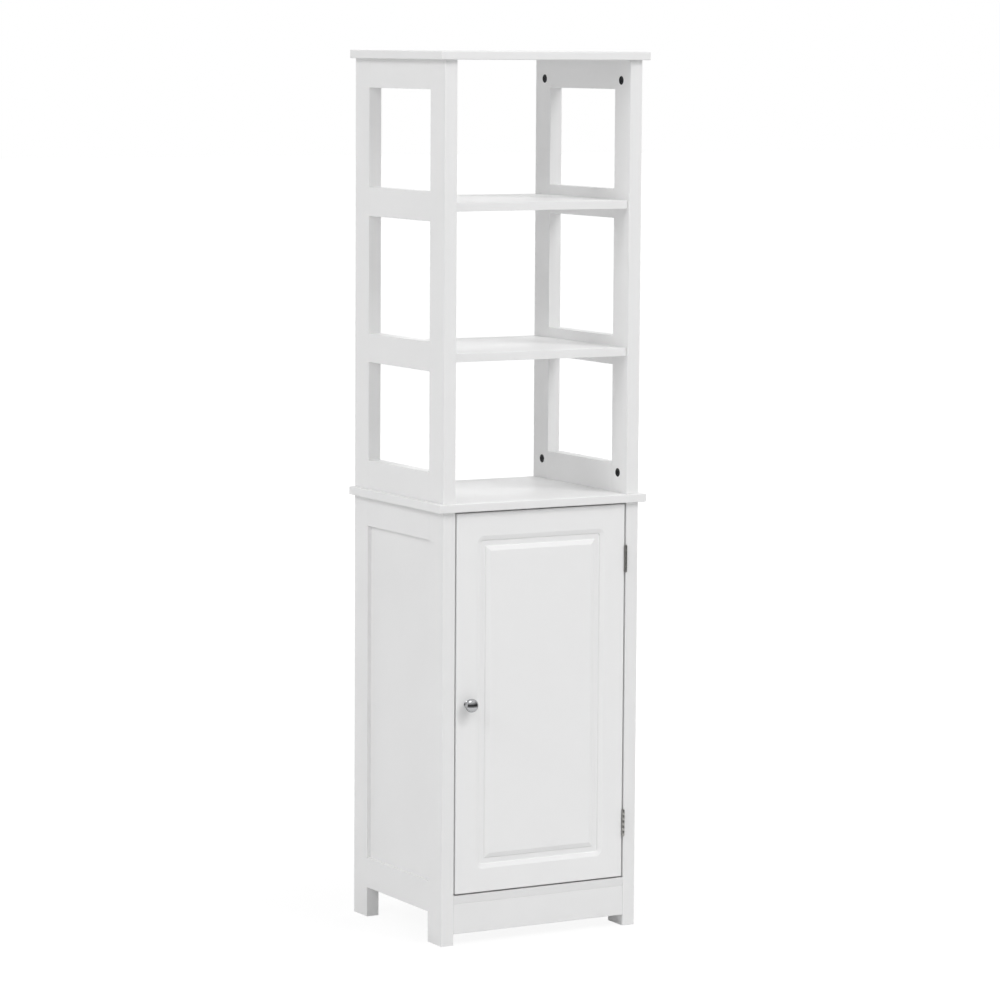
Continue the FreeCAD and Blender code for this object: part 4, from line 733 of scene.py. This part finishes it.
sky = bpy.data.worlds.new("white_sky")
sky.use_nodes = True
tree = sky.node_tree
tree.nodes.clear()
dome = add(tree, "ShaderNodeBackground", {"Color": linear("#ffffff"), "Strength": 0.453})
white = add(tree, "ShaderNodeBackground", {"Color": linear("#ffffff"), "Strength": 1.0})
both = add(tree, "ShaderNodeMixShader", {0: seen_directly(tree), 1: dome.outputs[0], 2: white.outputs[0]})
add(tree, "ShaderNodeOutputWorld", {"Surface": both.outputs[0]})
bpy.context.scene.world = sky

# Point that the lamps face, and how far from it they stand
MIDDLE = Vector((0, 0, 0.75))
LAMP_DISTANCE = 9.0


def softbox(name, direction, size, level):
    """Square lamp aimed at the cabinet, at the level that it gives a white matt card facing it."""
    place = MIDDLE + Vector(direction).normalized() * LAMP_DISTANCE
    bpy.ops.object.light_add(type="AREA", location=place)
    lamp = bpy.context.object
    lamp.name = name
    lamp.rotation_euler = Vector(direction).to_track_quat("Z", "Y").to_euler()
    lamp.data.shape = "SQUARE"
    lamp.data.size = size
    lamp.data.energy = level * (math.pi * LAMP_DISTANCE) ** 2
    return lamp


# The lamps leave no spots of their own on the chrome; the card shows in gloss and lights nothing else
for lamp in (
    softbox("key_light", (0.217, -0.604, 0.767), 1.8, 0.193),
    softbox("front_right_light", (0.410, -0.709, 0.574), 3.0, 0.198),
    softbox("front_left_light", (-0.579, -0.579, 0.574), 3.0, 0.098),
    softbox("left_light", (-0.807, -0.142, 0.574), 3.0, 0.236),
    softbox("back_right_light", (0.703, 0.703, 0.105), 3.0, 0.360),
    softbox("high_back_light", (-0.150, 0.477, 0.866), 3.0, 0.062),
):
    lamp.visible_glossy = False
card = softbox("highlight_card", (-0.300, -0.100, 0.949), 4.5, 0.220)
card.visible_diffuse = False

# Place, direction, roll and focal length were fitted to the cabinet's edges in the photograph
CAMERA_PLACE = (-3.37502, -5.963148, 1.512015)
CAMERA_AZIMUTH = math.radians(-29.5232)
CAMERA_ELEVATION = math.radians(6.5255)
CAMERA_ROLL = math.radians(0.3599)
CAMERA_LENS = 145.493
backwards = Vector((
    math.sin(CAMERA_AZIMUTH) * math.cos(CAMERA_ELEVATION),
    -math.cos(CAMERA_AZIMUTH) * math.cos(CAMERA_ELEVATION),
    math.sin(CAMERA_ELEVATION),
))
bpy.ops.object.camera_add(location=CAMERA_PLACE)
camera = bpy.context.object
camera.rotation_euler = (
    backwards.to_track_quat("Z", "Y").to_matrix() @ Matrix.Rotation(CAMERA_ROLL, 3, "Z")
).to_euler()
camera.data.sensor_width = 36
camera.data.lens = CAMERA_LENS
bpy.context.scene.camera = camera
bpy.context.scene.view_settings.view_transform = "Standard"
